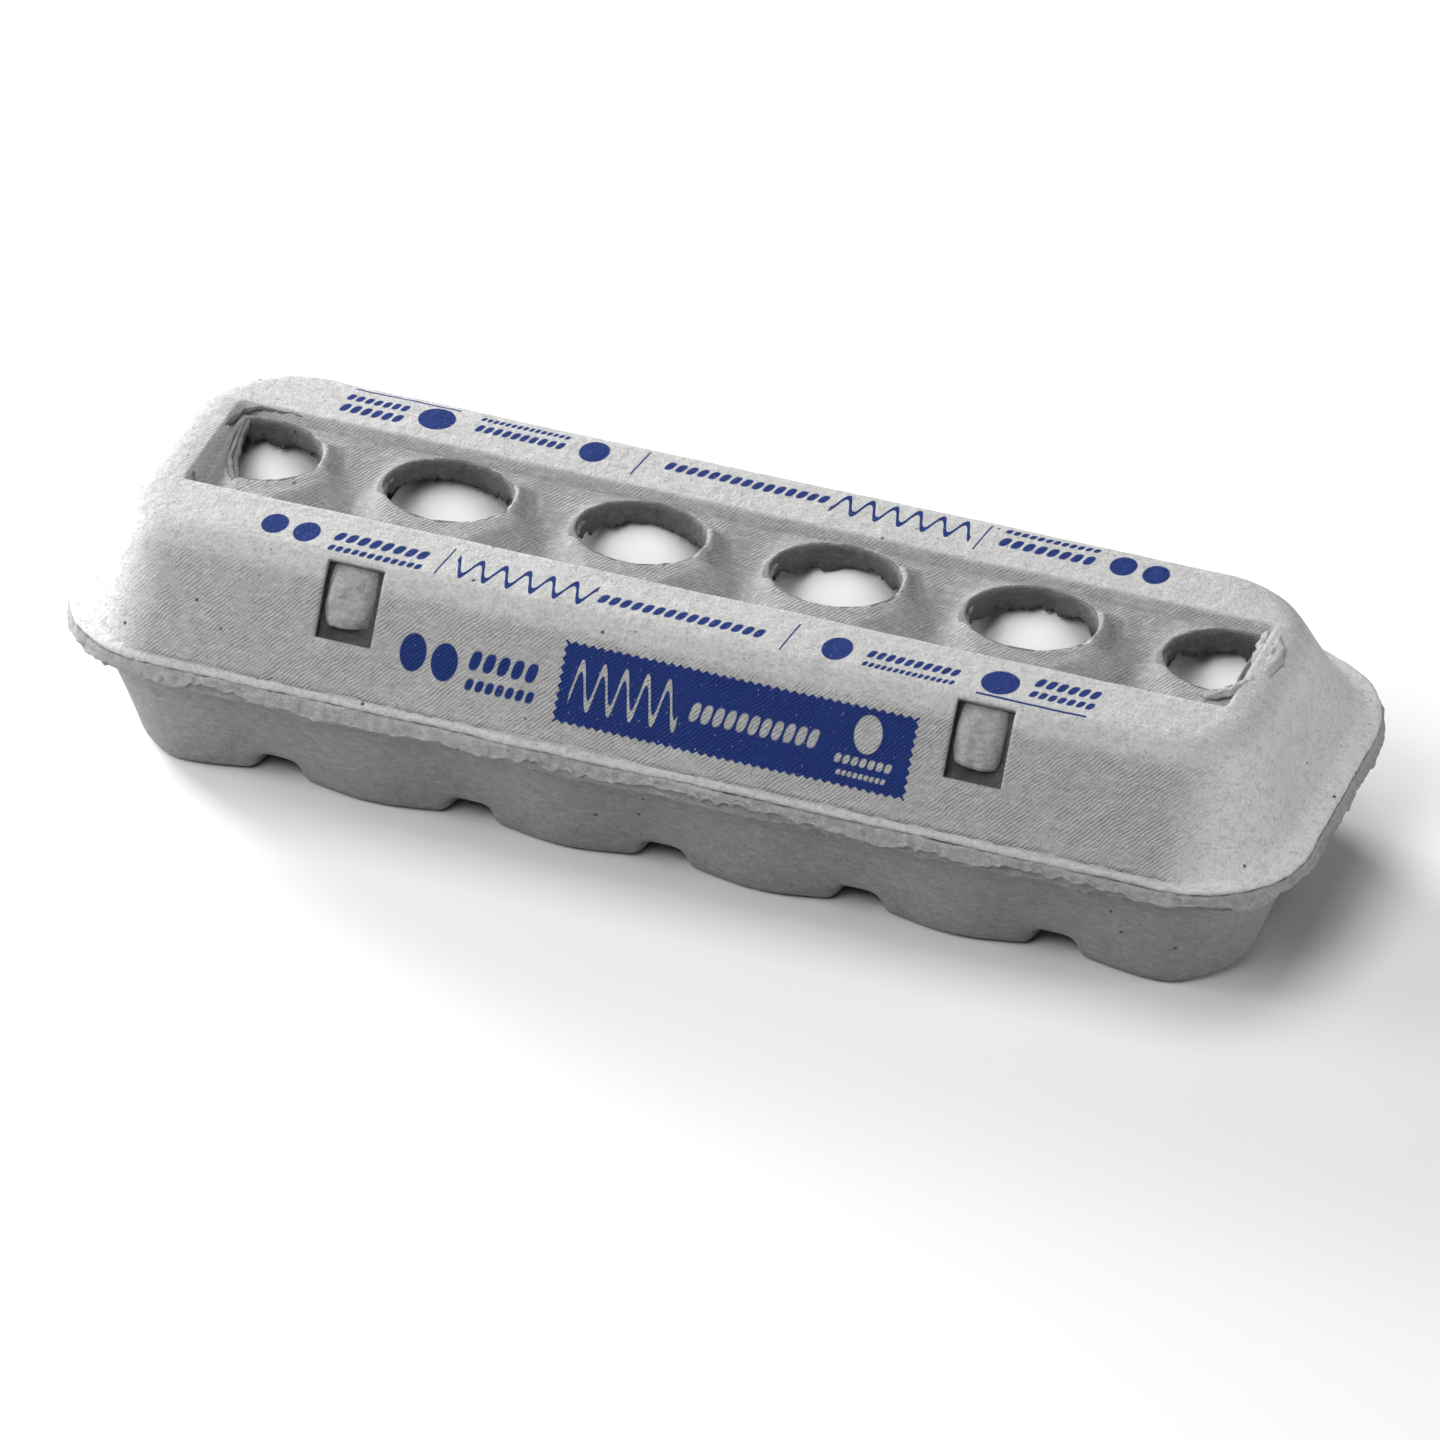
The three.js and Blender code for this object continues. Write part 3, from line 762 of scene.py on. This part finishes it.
INK_EDGE = 0.12  # softness of the print's edges
OVAL_SHARE = 0.76  # of a row's pitch that each oval fills


class Print(Shader):
    """Shapes of the print, each a share from 0 to 1 over two coordinates in millimetres."""

    def shape(self, distance):
        return self.math("MULTIPLY_ADD", distance, -0.5 / INK_EDGE, 0.5, clamp=True)

    def bar(self, u, v, cu, cv, width, height):
        du = self.minus(self.math("ABSOLUTE", self.minus(u, cu)), width / 2)
        dv = self.minus(self.math("ABSOLUTE", self.minus(v, cv)), height / 2)
        return self.shape(self.math("MAXIMUM", du, dv))

    def oval(self, u, v, cu, cv, width, height):
        du = self.times(self.minus(u, cu), 2 / width)
        dv = self.times(self.minus(v, cv), 2 / height)
        squared = self.plus(self.times(du, du), self.times(dv, dv))
        distance = self.times(self.minus(self.math("SQRT", squared), 1), min(width, height) / 2)
        return self.shape(distance)

    def row(self, u, v, cu, cv, width, height, pitch, slant=0.25):
        """A row of small leaning ovals, a whole number of them."""
        count = max(1, round(width / pitch))
        pitch = width / count
        leaning = self.math("MULTIPLY_ADD", self.minus(v, cv), -slant, self.minus(u, cu - width / 2))
        phase = self.math("FRACT", self.times(leaning, 1 / pitch))
        across = self.times(self.minus(phase, 0.5), 2 / OVAL_SHARE)
        up = self.times(self.minus(v, cv), 2 / height)
        squared = self.plus(self.math("POWER", self.math("ABSOLUTE", across), 2.6),
                            self.math("POWER", self.math("ABSOLUTE", up), 2.6))
        ovals = self.shape(self.times(self.minus(squared, 1), pitch * OVAL_SHARE / 5))
        inside = self.math("LESS_THAN", self.math("ABSOLUTE", self.minus(leaning, width / 2)), width / 2)
        return self.times(ovals, inside)

    def wave(self, u, v, cu, cv, width, height, length, stroke):
        swing = self.math("SINE", self.times(u, 2 * math.pi / length))
        line = self.math("MULTIPLY_ADD", swing, (height - stroke) / 2, cv)
        distance = self.minus(self.math("ABSOLUTE", self.minus(v, line)), stroke)
        return self.times(self.shape(distance), self.bar(u, v, cu, cv, width, height + 1))

    def divider(self, u, v, cu, cv, height, slant):
        leaning = self.minus(self.minus(u, cu), self.times(self.minus(v, cv), slant))
        du = self.minus(self.math("ABSOLUTE", leaning), 0.22)
        dv = self.minus(self.math("ABSOLUTE", self.minus(v, cv)), height / 2)
        return self.shape(self.math("MAXIMUM", du, dv))

    def any(self, u, v, rows):
        """Where any shape of a table is."""
        total = 0.0
        for kind, *numbers in rows:
            total = self.math("MAXIMUM", total, getattr(self, kind)(u, v, *numbers))
        return total


PAPER = (0.33, 0.33, 0.326)
PAPER_DARK = (0.18, 0.18, 0.178)
PAPER_LIGHT = (0.56, 0.56, 0.555)
SMOOTH_PAPER = (0.41, 0.41, 0.405)  # of the strips, shoulders and corners
SPECK = (0.06, 0.06, 0.06)
INK = (0.011, 0.026, 0.125)
THREAD_PITCH = 0.74  # of the forming screen, in millimetres


# The print: kind, middle, and the size and pitch that each kind takes.
STRIP_PRINT = (
    ("oval", -99.5, -26.2, 6.2, 7.6),
    ("oval", -91.5, -26.8, 6.2, 7.6),
    ("row", -73.5, -26.0, 23.0, 3.6, 2.9),
    ("row", -73.5, -30.4, 23.0, 2.0, 2.0),
    ("divider", -58.0, -26.2, 10.5, 0.12),
    ("wave", -38.5, -27.2, 34.0, 7.2, 5.7, 1.1),
    ("row", -0.5, -27.4, 40.0, 3.4, 2.7),
    ("divider", 25.0, -26.2, 10.5, 0.12),
    ("oval", 36.5, -26.6, 7.0, 8.6),
    ("row", 54.5, -26.0, 22.0, 3.0, 2.3),
    ("row", 54.5, -29.8, 22.0, 1.7, 1.5),
    ("oval", 75.0, -26.0, 8.8, 8.8),
    ("row", 90.0, -23.0, 15.5, 3.4, 2.7),
    ("row", 90.0, -27.4, 15.5, 2.6, 2.3),
    ("bar", 84.0, -31.2, 26.0, 0.6),
)
LABEL_PRINT = (
    ("wave", -8.5, 48.8, 26.0, 9.0, 5.2, 1.2),
    ("row", 22.5, 48.6, 31.0, 3.8, 2.8),
    ("oval", 49.0, 51.6, 6.6, 7.6),
    ("row", 49.0, 46.0, 14.0, 1.8, 1.9),
    ("row", 49.0, 43.3, 12.0, 1.1, 1.3),
)
PRINT_BESIDE = (
    ("oval", -59.5, 48.0, 6.4, 7.6),
    ("oval", -51.8, 47.4, 6.4, 7.6),
    ("row", -37.8, 49.0, 17.0, 4.0, 3.2),
    ("row", -37.8, 44.2, 17.0, 2.4, 2.3),
)
LABEL = (17.8, 48.8, 41.6, 7.6)  # middle, half length and half height
LABEL_TOOTH = 2.1


def strip_row(s):
    """The print along both top strips; the back one is the front one turned half round."""
    at_back = s.math("GREATER_THAN", s.y, 0.0)
    turned = s.math("MULTIPLY_ADD", s.x, -1.0, -5.5)
    u = s.plus(s.times(turned, at_back), s.times(s.x, s.minus(1.0, at_back)))
    v = s.times(s.math("ABSOLUTE", s.y), -1.0)
    return s.times(s.any(u, v, STRIP_PRINT), s.math("GREATER_THAN", s.z, 61.5))


def face_print(s):
    """The label and the marks beside it on the front wall, and the light shapes in it."""
    u, v = s.x, s.z
    middle_u, middle_v, half_u, half_v = LABEL
    across = s.math("PINGPONG", s.times(v, 1 / 0.86), LABEL_TOOTH / 2)
    along = s.math("PINGPONG", u, LABEL_TOOTH / 2)
    du = s.math("ABSOLUTE", s.minus(u, middle_u))
    dv = s.math("ABSOLUTE", s.minus(v, middle_v))
    du = s.minus(du, s.math("MULTIPLY_ADD", across, 0.75, half_u))
    dv = s.minus(dv, s.math("MULTIPLY_ADD", along, 0.62, half_v))
    label = s.shape(s.math("MAXIMUM", du, dv))
    label = s.times(label, s.minus(1.0, s.any(u, v, LABEL_PRINT)))
    front = s.times(s.math("LESS_THAN", s.y, -33.0), s.math("LESS_THAN", s.z, 60.5))
    return s.times(s.math("MAXIMUM", label, s.any(u, v, PRINT_BESIDE)), front)


def smooth_and_lit_ends(s):
    """1 on the lid's two ends, fading out towards the first and last window; the ends are smooth and take
    painted light.
    """
    return s.ramp(s.math("ABSOLUTE", s.plus(s.x, 1.0)), 118.0, 134.0)


def smooth_areas(s):
    """1 on the lid's strips, shoulders, ends and rim, 0 on its screened walls and channel."""
    side = s.math("ABSOLUTE", s.y)
    top = s.times(s.ramp(s.z, 56.5, 60.0), s.ramp(side, 16.6, 17.4))
    ends = smooth_and_lit_ends(s)
    rim = s.ramp(s.z, 36.9, 36.3)
    return s.math("MAXIMUM", s.math("MAXIMUM", top, ends), rim)


def twill(s):
    """The forming screen's slanting threads, from -1 to 1."""
    leaning = s.plus(s.times(s.x, 0.677), s.plus(s.times(s.z, -0.5), s.times(s.y, -0.395)))
    bent = s.plus(leaning, s.times(s.noise(5.0, 3.0), 1.6))
    return s.math("SINE", s.times(bent, 2 * math.pi / THREAD_PITCH))


def pulp_material(name, printed=False, shade=1.0, screened=False):
    s = Print(name)
    cloud = s.noise(26.0, 3.0)
    mottle = s.noise(3.0, 4.0, 0.7)
    grain = s.noise(0.75, 3.0, 0.7)
    fibre = s.noise(1.0, 3.0, 0.6, stretch=(0.3, 1, 1), turn=(0.3, 0.2, 0.6))
    tone, dark, light = (tuple(c * shade for c in paper) for paper in (PAPER, PAPER_DARK, PAPER_LIGHT))
    if screened:
        smooth = smooth_areas(s)
        rough = s.minus(1.0, smooth)
        tone = s.mix(smooth, tone, SMOOTH_PAPER)
        # Painted light: the end walls below the top are made lighter, as if lit by the side lamps.
        tone = s.mix(s.times(smooth_and_lit_ends(s), s.ramp(s.z, 62.0, 58.0)), tone, PAPER_LIGHT)
        # Painted shade: the sunken channel inside the strips and ends is darkened towards PAPER_DARK.
        across = s.ramp(s.math("ABSOLUTE", s.y), 16.6, 15.2)
        sunken_shade = s.times(across, s.ramp(s.math("ABSOLUTE", s.x), 127.0, 122.0))
        tone = s.mix(s.times(sunken_shade, 0.45), tone, PAPER_DARK)
    for pattern, low, high, share, paper in (
            (cloud, 0.35, 0.75, 0.15, light), (mottle, 0.44, 0.7, 0.26, dark),
            (grain, 0.42, 0.72, 0.34, dark), (fibre, 0.45, 0.7, 0.3, light)):
        tone = s.mix(s.times(s.ramp(pattern, low, high), share), tone, paper)
    spots = s.plus(s.times(s.specks(9.0, 0.07, 0.75), 0.95), s.times(s.specks(3.4, 0.11, 0.4), 0.5))
    tone = s.mix(s.math("MINIMUM", spots, 1.0), tone, SPECK)
    if screened:
        threads = s.times(s.times(twill(s), rough), s.ramp(s.noise(7.0, 3.0, 0.7), 0.3, 0.6))
        thread_share = s.math("MULTIPLY_ADD", threads, 0.24, s.times(rough, 0.22), clamp=True)
        tone = s.mix(thread_share, tone, PAPER_DARK)
    if printed:
        worn = s.ramp(s.noise(0.7, 3.0), 0.22, 0.34)
        ink = s.times(s.math("MAXIMUM", face_print(s), strip_row(s)), worn)
        tone = s.mix(ink, tone, INK)
    s.put(s.surface.inputs["Base Color"], tone)
    s.set(Roughness=0.92, Specular_IOR_Level=0.12)
    normal = s.bump(s.noise(2.6, 5.0, 0.65), 0.7, 0.9)
    normal = s.bump(grain, 0.22, 0.9, after=normal)
    normal = s.bump(fibre, 0.12, 0.9, after=normal)
    if screened:
        normal = s.bump(threads, 0.07, 1.0, after=normal)
    s.tree.links.new(normal, s.surface.inputs["Normal"])
    return s.material


def shell_material():
    s = Shader("white_eggshell")
    cloud = s.ramp(s.noise(16.0, 2.0), 0.35, 0.7)
    tone = s.mix(cloud, (0.93, 0.925, 0.91), (0.965, 0.962, 0.95))
    s.put(s.surface.inputs["Base Color"], tone)
    s.set(Roughness=0.5, Subsurface_Weight=0.12, Subsurface_Radius=(0.003, 0.0025, 0.002))
    pores = s.noise(0.45, 2.0)
    s.tree.links.new(s.bump(pores, 0.03, 0.6), s.surface.inputs["Normal"])
    return s.material


# Pieces.
LID_RIM = (
    # inset, height, share of the ragged edge
    (3.0, 35.2, 0.0),
    (0.9, 34.8, 0.1),
    (0.1, 34.75, 0.3),
    (-0.3, 34.95, 0.4),
    (-0.5, 35.4, 0.5),
    (-0.3, 35.95, 0.5),
    (0.15, 36.25, 0.4),
    (0.6, 36.4, 0.2),
    (1.0, 36.7, 0.1),
    (1.6, 37.1, 0.0),
    (4.0, 38.4, 0.0),
    (4.0, 36.6, 0.0),
)
TRAY_RIM = (
    (4.9, 34.1, 0.0),
    (1.6, 34.3, 0.0),
    (0.2, 34.2, 0.0),
    (-0.2, 33.6, 0.05),
    (-0.3, 32.6, 0.2),
    (-0.2, 31.4, 0.6),
    (-0.45, 30.5, 1.0),
    (-0.3, 30.1, 1.0),
    (0.3, 30.3, 0.9),
    (0.7, 31.6, 0.5),
    (1.2, 32.6, 0.2),
    (4.9, 32.4, 0.0),
)
TORN_LAYER = (
    (1.2, 34.4, 0.0),
    (-0.25, 34.85, 0.0),
    (-0.65, 34.4, 0.1),
    (-0.8, 33.6, 0.3),
    (-0.75, 32.7, 0.75),
    (-1.3, 32.1, 1.0),
    (-1.3, 31.75, 1.0),
    (-0.6, 31.8, 1.0),
    (-0.45, 32.8, 0.6),
    (-0.3, 33.8, 0.1),
)


COLLAR = (
    # height, how far out of the window, share of the ragged edge
    (61.55, 0.6, 0.0),
    (61.7, 0.1, 0.0),
    (61.3, -0.15, 0.0),
    (60.2, -0.2, 0.0),
    (58.6, -0.05, 0.0),
    (57.0, 0.15, 0.25),
    (55.6, 0.4, 1.0),
    (55.5, 0.85, 1.0),
    (56.8, 1.1, 0.3),
    (58.6, 1.3, 0.0),
    (60.4, 1.6, 0.0),
)


def collar(column, material):
    """The edge of a window, turned down and torn along its lower side."""
    around = 220
    angle = np.linspace(0, 2 * np.pi, around, endpoint=False)
    centre = window_x(column)
    seed = 40 + column * 9
    place = np.column_stack([centre + WINDOW_HALF_LENGTH * np.cos(angle),
                             WINDOW_HALF_WIDTH * np.sin(angle), 0 * angle])
    tear = 1.5 * noise(place, 5.0, seed) + 0.9 * noise(place, 1.5, seed + 1)
    tear -= 2.2 * np.maximum(noise(place, 0.7, seed + 2) - 0.35, 0)  # fibres that hang down
    crumple = 0.6 * noise(place, 3.4, seed + 6)
    vertices = []
    for z, out, ragged in COLLAR:
        x = centre + (WINDOW_HALF_LENGTH + out) * np.cos(angle)
        y = WINDOW_Y + (WINDOW_HALF_WIDTH + out) * np.sin(angle) + crumple * (ragged > 0)
        x = np.clip(x, window_cut(y) - out, WINDOWS_TO + out)
        vertices.append(np.column_stack([x, y, z + tear * ragged]))
    flat = np.vstack(vertices)
    flat = flat + 0.14 * np.column_stack([noise(flat, 1.5, seed + k) for k in (3, 4, 5)])
    return make_object(f"collar_{column}", flat, ring_faces(len(COLLAR), around), [material])


def crumpled_strip(name, points, width, thickness, seed, material, turns=2.4):
    """A torn, folded strip of pulp along points, uneven all over."""
    path = np.array(points, float)
    at = np.linspace(0, len(path) - 1, 60)
    line = np.column_stack([np.interp(at, np.arange(len(path)), path[:, k]) for k in range(3)])
    ahead = np.gradient(line, axis=0)
    ahead /= np.linalg.norm(ahead, axis=1)[:, None]
    side = np.cross(ahead, [0, 0, 1.0])
    side /= np.linalg.norm(side, axis=1)[:, None]
    up = np.cross(side, ahead)
    around = 18
    taper = np.sin(np.linspace(0.12, math.pi - 0.12, len(line))) ** 0.45
    vertices = []
    for k in range(around):
        turn = 2 * math.pi * k / around
        lobe = 1 + 0.35 * noise(line + [k, 0, 0], 2.0, seed)
        lobe += 0.3 * noise(line + [0, 3 * k, 0], 5.0, seed + 1)
        twist = turn + 0.5 * noise(line, 6.0, seed + 2) * turns
        out = side * (width / 2 * np.cos(twist) * taper * lobe)[:, None]
        rise = up * (thickness / 2 * np.sin(twist) * taper * lobe)[:, None]
        vertices.append(line + out + rise)
    vertices = np.stack(vertices, 1).reshape(-1, 3)
    vertices = vertices + 0.3 * np.column_stack([noise(vertices, 1.3, seed + k) for k in (3, 4, 5)])
    last = (len(line) - 1) * around
    faces = tube_faces(len(line), around)
    faces += [tuple(range(around - 1, -1, -1)), tuple(range(last, last + around))]
    return make_object(name, vertices, faces, [material])


FOLDS = (
    # path, width, thickness, seed
    (((124.6, 14.5, 62.4), (125.2, 8.0, 61.6), (125.4, 1.0, 60.2), (124.8, -4.5, 59.4)), 3.6, 1.8, 61),
    (((127.5, 13.6, 62.7), (129.0, 7.0, 62.6), (129.6, 1.0, 62.2), (128.6, -3.0, 62.0)), 3.4, 1.7, 71),
    (((128.0, -1.5, 62.3), (126.0, -6.0, 62.3), (123.8, -10.5, 62.3), (119.0, -14.0, 62.4)), 2.6, 1.5, 81),
    (((125.0, -5.0, 61.5), (122.0, -10.0, 61.8), (117.5, -12.8, 61.8)), 1.8, 1.2, 91),
)
CUT_EDGE = ((-110.0, 17.0, 62.2), (-119.5, 16.7, 62.1), (-123.7, 14.2, 62.1), (-126.0, 6.0, 61.9),
            (-126.4, -3.0, 61.7), (-125.9, -12.0, 61.7), (-123.0, -16.3, 61.9))


def torn_ends(material, shadow_material):
    """The crumpled pulp at the channel's right end and the cut edge round its left end."""
    strips = [crumpled_strip(f"fold_{seed}", path, width, thickness, seed, material)
              for path, width, thickness, seed in FOLDS]
    # The cut edge takes the dark pulp: painted shade along the left end's lip.
    return strips + [crumpled_strip("cut_edge", CUT_EDGE, 1.0, 1.3, 101, shadow_material, turns=0.3)]


def make_lid(outer, inner, shadow_material, torn):
    pieces = [lid_skin([outer, inner]), sweep("lid_rim", lid_outline, LID_RIM, 0.4, [outer], 3)]
    lid = join(pieces, "carton_lid")
    # The collars take the dark pulp: painted shade inside the windows.
    collars = join([collar(column, shadow_material) for column in range(COLUMNS)], "window_collars")
    folds = join(torn_ends(torn, shadow_material), "torn_folds")
    for extra in (collars, folds):
        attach(extra, "lid")
    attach(lid, "lid")
    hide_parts("lid")
    return lid


FLAP_HALF_LENGTH = 110.0
FLAP_TOP = 60
FLAP_THICKNESS = 1.0
FLAP_HOLLOW = 1.3  # depth round each slot
FLAP_STEP = 1.6


def slot_distance(x):
    """From x to the middle of the nearer slot, along the carton."""
    return min(abs(x - side * SLOT_X - FEATURE_SHIFT) for side in (-1, 1))


def knob(side, material):
    """The soft pillow behind a slot, standing on the flap."""
    x = side * SLOT_X + FEATURE_SHIFT - 0.6
    across, up = 34, 40
    half_width, low, high = 6.0, 47.7, 60.6
    places = []
    for j in range(up + 1):
        for i in range(across + 1):
            u, v = 2 * i / across - 1, 2 * j / up - 1
            edge = (1 - abs(u) ** 4.0) * (1 - abs(v) ** 4.0)
            bulge = 1 - 0.22 * u * u - 0.16 * v * v - 0.1 * u
            z = low + (high - low) * (v + 1) / 2
            back = -(RIM_HALF_WIDTH - wall_inset(z) - WALL_INSET - 2.9)
            round_off = 1 - 0.16 * abs(v) ** 3
            places.append((x + u * half_width * round_off, back - 5.1 * bulge * edge ** 0.42, z))
    places = np.array(places)
    places[:, 1] -= 0.5 * noise(places, 4.0, 140 + side) + 0.3 * noise(places, 1.8, 150 + side)
    made = make_object(f"knob_{side}", places, grid_faces(up + 1, across + 1), [material])
    apply_modifier(made, "SOLIDIFY", thickness=FLAP_THICKNESS * MM, offset=-1)
    return made


def flap(material, slot_shadow):
    """The locking flap inside the lid's front wall, hollowed round the slots, with painted shade on its
    faces behind them.
    """
    ends = [side * FLAP_HALF_LENGTH + FEATURE_SHIFT for side in (-1, 1)]
    xs = grid_lines(ends, FLAP_STEP)
    heights = grid_lines([RIM_HEIGHT - 1, 36, WALL_START, FLAP_TOP], FLAP_STEP)
    foot = RIM_HALF_WIDTH - 3.9
    outer = []
    for z in heights:
        lean = RIM_HALF_WIDTH - wall_inset(max(z, WALL_START)) - WALL_INSET - 0.5
        y = -(min(foot, lean) if z < WALL_START else lean)
        for x in xs:
            near = smoothstep(10.5, 7.5, slot_distance(x))
            hollow = FLAP_HOLLOW * float(near) * float(smoothstep(43.5, 46.0, z))
            outer.append((x, y + hollow, z))
    outer = np.array(outer)
    quads = np.array(grid_faces(len(heights), len(xs)))
    inner = outer + [0, FLAP_THICKNESS, 0]
    made = closed_shell("flap", outer, inner, quads, [material, material, slot_shadow])
    # Painted shade: the faces behind the slots take the near-black pulp, standing for a deeper recess.
    for face, middle in zip(made.data.polygons, outer[quads].mean(1)):
        if slot_distance(middle[0]) < 9.5 and middle[2] > 44:
            face.material_index = 2
    return made


TRAY_VOXEL = 1.15
TRAY_FACES_KEPT = 0.62


def make_tray(material, slot_shadow, torn):
    body = tray_body()
    soften(body, TRAY_VOXEL, 6)
    apply_modifier(body, "DECIMATE", ratio=TRAY_FACES_KEPT)
    roughen(body, 21)
    body.data.materials.clear()
    body.data.materials.append(material)
    rim = sweep("tray_rim", tray_rim_outline, TRAY_RIM, 1.0, [material], 13, rough=0.2)
    tray = join([body, rim], "carton_tray")
    torn_edge = sweep("torn_layer", torn_outline, TORN_LAYER, 1.4, [torn], 33, rough=0.35)
    lock = join([flap(material, slot_shadow)] + [knob(side, torn) for side in (-1, 1)], "locking_flap")
    for extra in (torn_edge, lock):
        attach(extra, "tray")
    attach(tray, "tray")
    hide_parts("base_tray")
    return tray


EGG_BOTTOM, EGG_WIDEST, EGG_TOP, EGG_RADIUS = 2.4, 33.6, 55.8, 21.1
LOW_EGGS, LOW_EGG_SCALE = (7, 8, 12), 0.96
EGG_SCALE, EGG_SCALE_RANGE = 0.975, 0.02
EGG_LEAN = 2.2  # degrees at most
EGG_SEED = 11


def random_numbers(seed):
    state = seed
    while True:
        state = (state * 16807) % 2147483647
        yield state / 2147483647


def egg_mesh(scale, around=56, steps=44):
    vertices = [(0, 0, EGG_BOTTOM * scale)]
    for k in range(1, steps):
        angle = -math.pi / 2 + k / steps * math.pi
        above = angle > 0
        half = EGG_TOP - EGG_WIDEST if above else EGG_WIDEST - EGG_BOTTOM
        taper = 1 if above else 1 - 0.07 * math.sin(angle) ** 2
        radius = EGG_RADIUS * math.cos(angle) * taper * scale
        z = (EGG_WIDEST + half * math.sin(angle)) * scale
        for i in range(around):
            turn = 2 * math.pi * i / around
            vertices.append((radius * math.cos(turn), radius * math.sin(turn), z))
    vertices.append((0, 0, EGG_TOP * scale))
    faces = tube_faces(steps - 1, around, first=1)
    last = len(vertices) - 1
    for i in range(around):
        after = (i + 1) % around
        faces.append((0, 1 + after, 1 + i))
        faces.append((last, last - around + i, last - around + after))
    return np.array(vertices), faces


def make_eggs(material):
    draw = random_numbers(EGG_SEED)
    lean = math.radians(EGG_LEAN)
    number = 0
    for side in (-1, 1):
        for column in range(COLUMNS):
            number += 1
            scale = LOW_EGG_SCALE if number in LOW_EGGS else 1
            scale *= EGG_SCALE + EGG_SCALE_RANGE * next(draw)
            tilt_x = lean * (2 * next(draw) - 1)
            tilt_y = lean * (2 * next(draw) - 1)
            vertices, faces = egg_mesh(scale)
            turn = np.array(Matrix.Rotation(tilt_x, 3, "X") @ Matrix.Rotation(tilt_y, 3, "Y"))
            vertices = vertices @ turn.T + [cup_x(column), side * ROW_Y, 0.5]
            egg = make_object(f"white_egg_{number:02d}", vertices, faces, [material])
            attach(egg, "tray")
            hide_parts(f"egg_{number:02d}")


# Camera, light and floor.
CAMERA_AZIMUTH, CAMERA_ELEVATION, CAMERA_ROLL = 20.03, 35.67, -0.58
CAMERA_DISTANCE = 2808.3
CAMERA_TARGET = (-0.04 + FEATURE_SHIFT, 0.0, 15.69)
CAMERA_FOCAL = 12274.5 / 1440  # in picture widths
SENSOR = 36.0


def make_camera():
    a, e, r = (math.radians(v) for v in (CAMERA_AZIMUTH, CAMERA_ELEVATION, CAMERA_ROLL))
    back = Vector((math.sin(a) * math.cos(e), -math.cos(a) * math.cos(e), math.sin(e)))
    right = Vector((math.cos(a), math.sin(a), 0))
    up = back.cross(right)
    rolled_right = right * math.cos(r) - up * math.sin(r)
    rolled_up = right * math.sin(r) + up * math.cos(r)
    place = (Vector(CAMERA_TARGET) + back * CAMERA_DISTANCE) * MM
    data = bpy.data.cameras.new("camera")
    data.sensor_width = SENSOR
    data.sensor_fit = "HORIZONTAL"
    data.lens = CAMERA_FOCAL * SENSOR
    data.clip_end = 50
    camera = bpy.data.objects.new("camera", data)
    turn = Matrix((rolled_right, rolled_up, back)).transposed().to_4x4()
    camera.matrix_world = Matrix.Translation(place) @ turn
    bpy.context.scene.collection.objects.link(camera)
    bpy.context.scene.camera = camera


def area_light(name, place, size, power, target=(0, 0, 0.03)):
    data = bpy.data.lights.new(name, "AREA")
    data.size = size
    data.energy = power
    light = bpy.data.objects.new(name, data)
    light.location = place
    direction = Vector(target) - Vector(place)
    light.rotation_euler = direction.to_track_quat("-Z", "Y").to_euler()
    bpy.context.scene.collection.objects.link(light)


LIGHTS = (
    # name, place and side in metres, watts
    ("above", (0.0, 0.0, 1.3), 0.8, 7.8),
    ("left_back", (-1.0, 0.6, 0.35), 0.5, 29.0),
    ("left", (-1.0, -0.25, 0.45), 0.5, 7.4),
    ("front", (-0.15, -0.75, 1.0), 0.6, 7.4),
    ("right", (1.05, 0.1, 0.3), 0.5, 3.9),
)
FLOOR_HALF_SIDE = 6000


def make_studio():
    floor_shader = Shader("pale_floor")
    tone = floor_shader.mix(floor_shader.noise(900.0, 1.0), (0.72, 0.72, 0.72), (0.74, 0.74, 0.74))
    floor_shader.put(floor_shader.surface.inputs["Base Color"], tone)
    floor_shader.surface.inputs["Roughness"].default_value = 0.9
    size = FLOOR_HALF_SIDE
    corners = [(x * size, y * size, 0) for x, y in ((-1, -1), (1, -1), (1, 1), (-1, 1))]
    floor = make_object("floor", corners, [(0, 1, 2, 3)], [floor_shader.material], smooth=False)
    world = bpy.data.worlds.new("studio")
    bpy.context.scene.world = world
    world.use_nodes = True
    background = world.node_tree.nodes["Background"]
    background.inputs["Color"].default_value = (1, 1, 1, 1)
    background.inputs["Strength"].default_value = 0.03
    for light in LIGHTS:
        area_light(*light)
    bpy.context.scene.view_settings.view_transform = "Standard"


outer_pulp = pulp_material("printed_pulp", printed=True, screened=True)
# A darker copy of the pulp: painted shade on the lid's underside and the edges of its openings.
inner_pulp = pulp_material("lid_inner_shaded_pulp", shade=0.7)
# A much darker copy of the pulp: painted shade on the collars and the cut edge.
collar_shadow_pulp = pulp_material("collar_shadow_pulp", shade=0.42)  # of the collars
# A near-black copy of the pulp: painted shade on the flap behind the slots.
slot_shadow_pulp = pulp_material("slot_shadow_pulp", shade=0.26)  # of the flap behind the slots
torn_pulp = pulp_material("torn_pulp", shade=0.88)
# A darker copy of the pulp: painted shade on the tray's down-facing walls, its rim and the locking flap.
tray_pulp = pulp_material("tray_pulp_shaded", shade=0.76)
make_lid(outer_pulp, inner_pulp, collar_shadow_pulp, torn_pulp)
make_tray(tray_pulp, slot_shadow_pulp, torn_pulp)
make_eggs(shell_material())
make_camera()
make_studio()
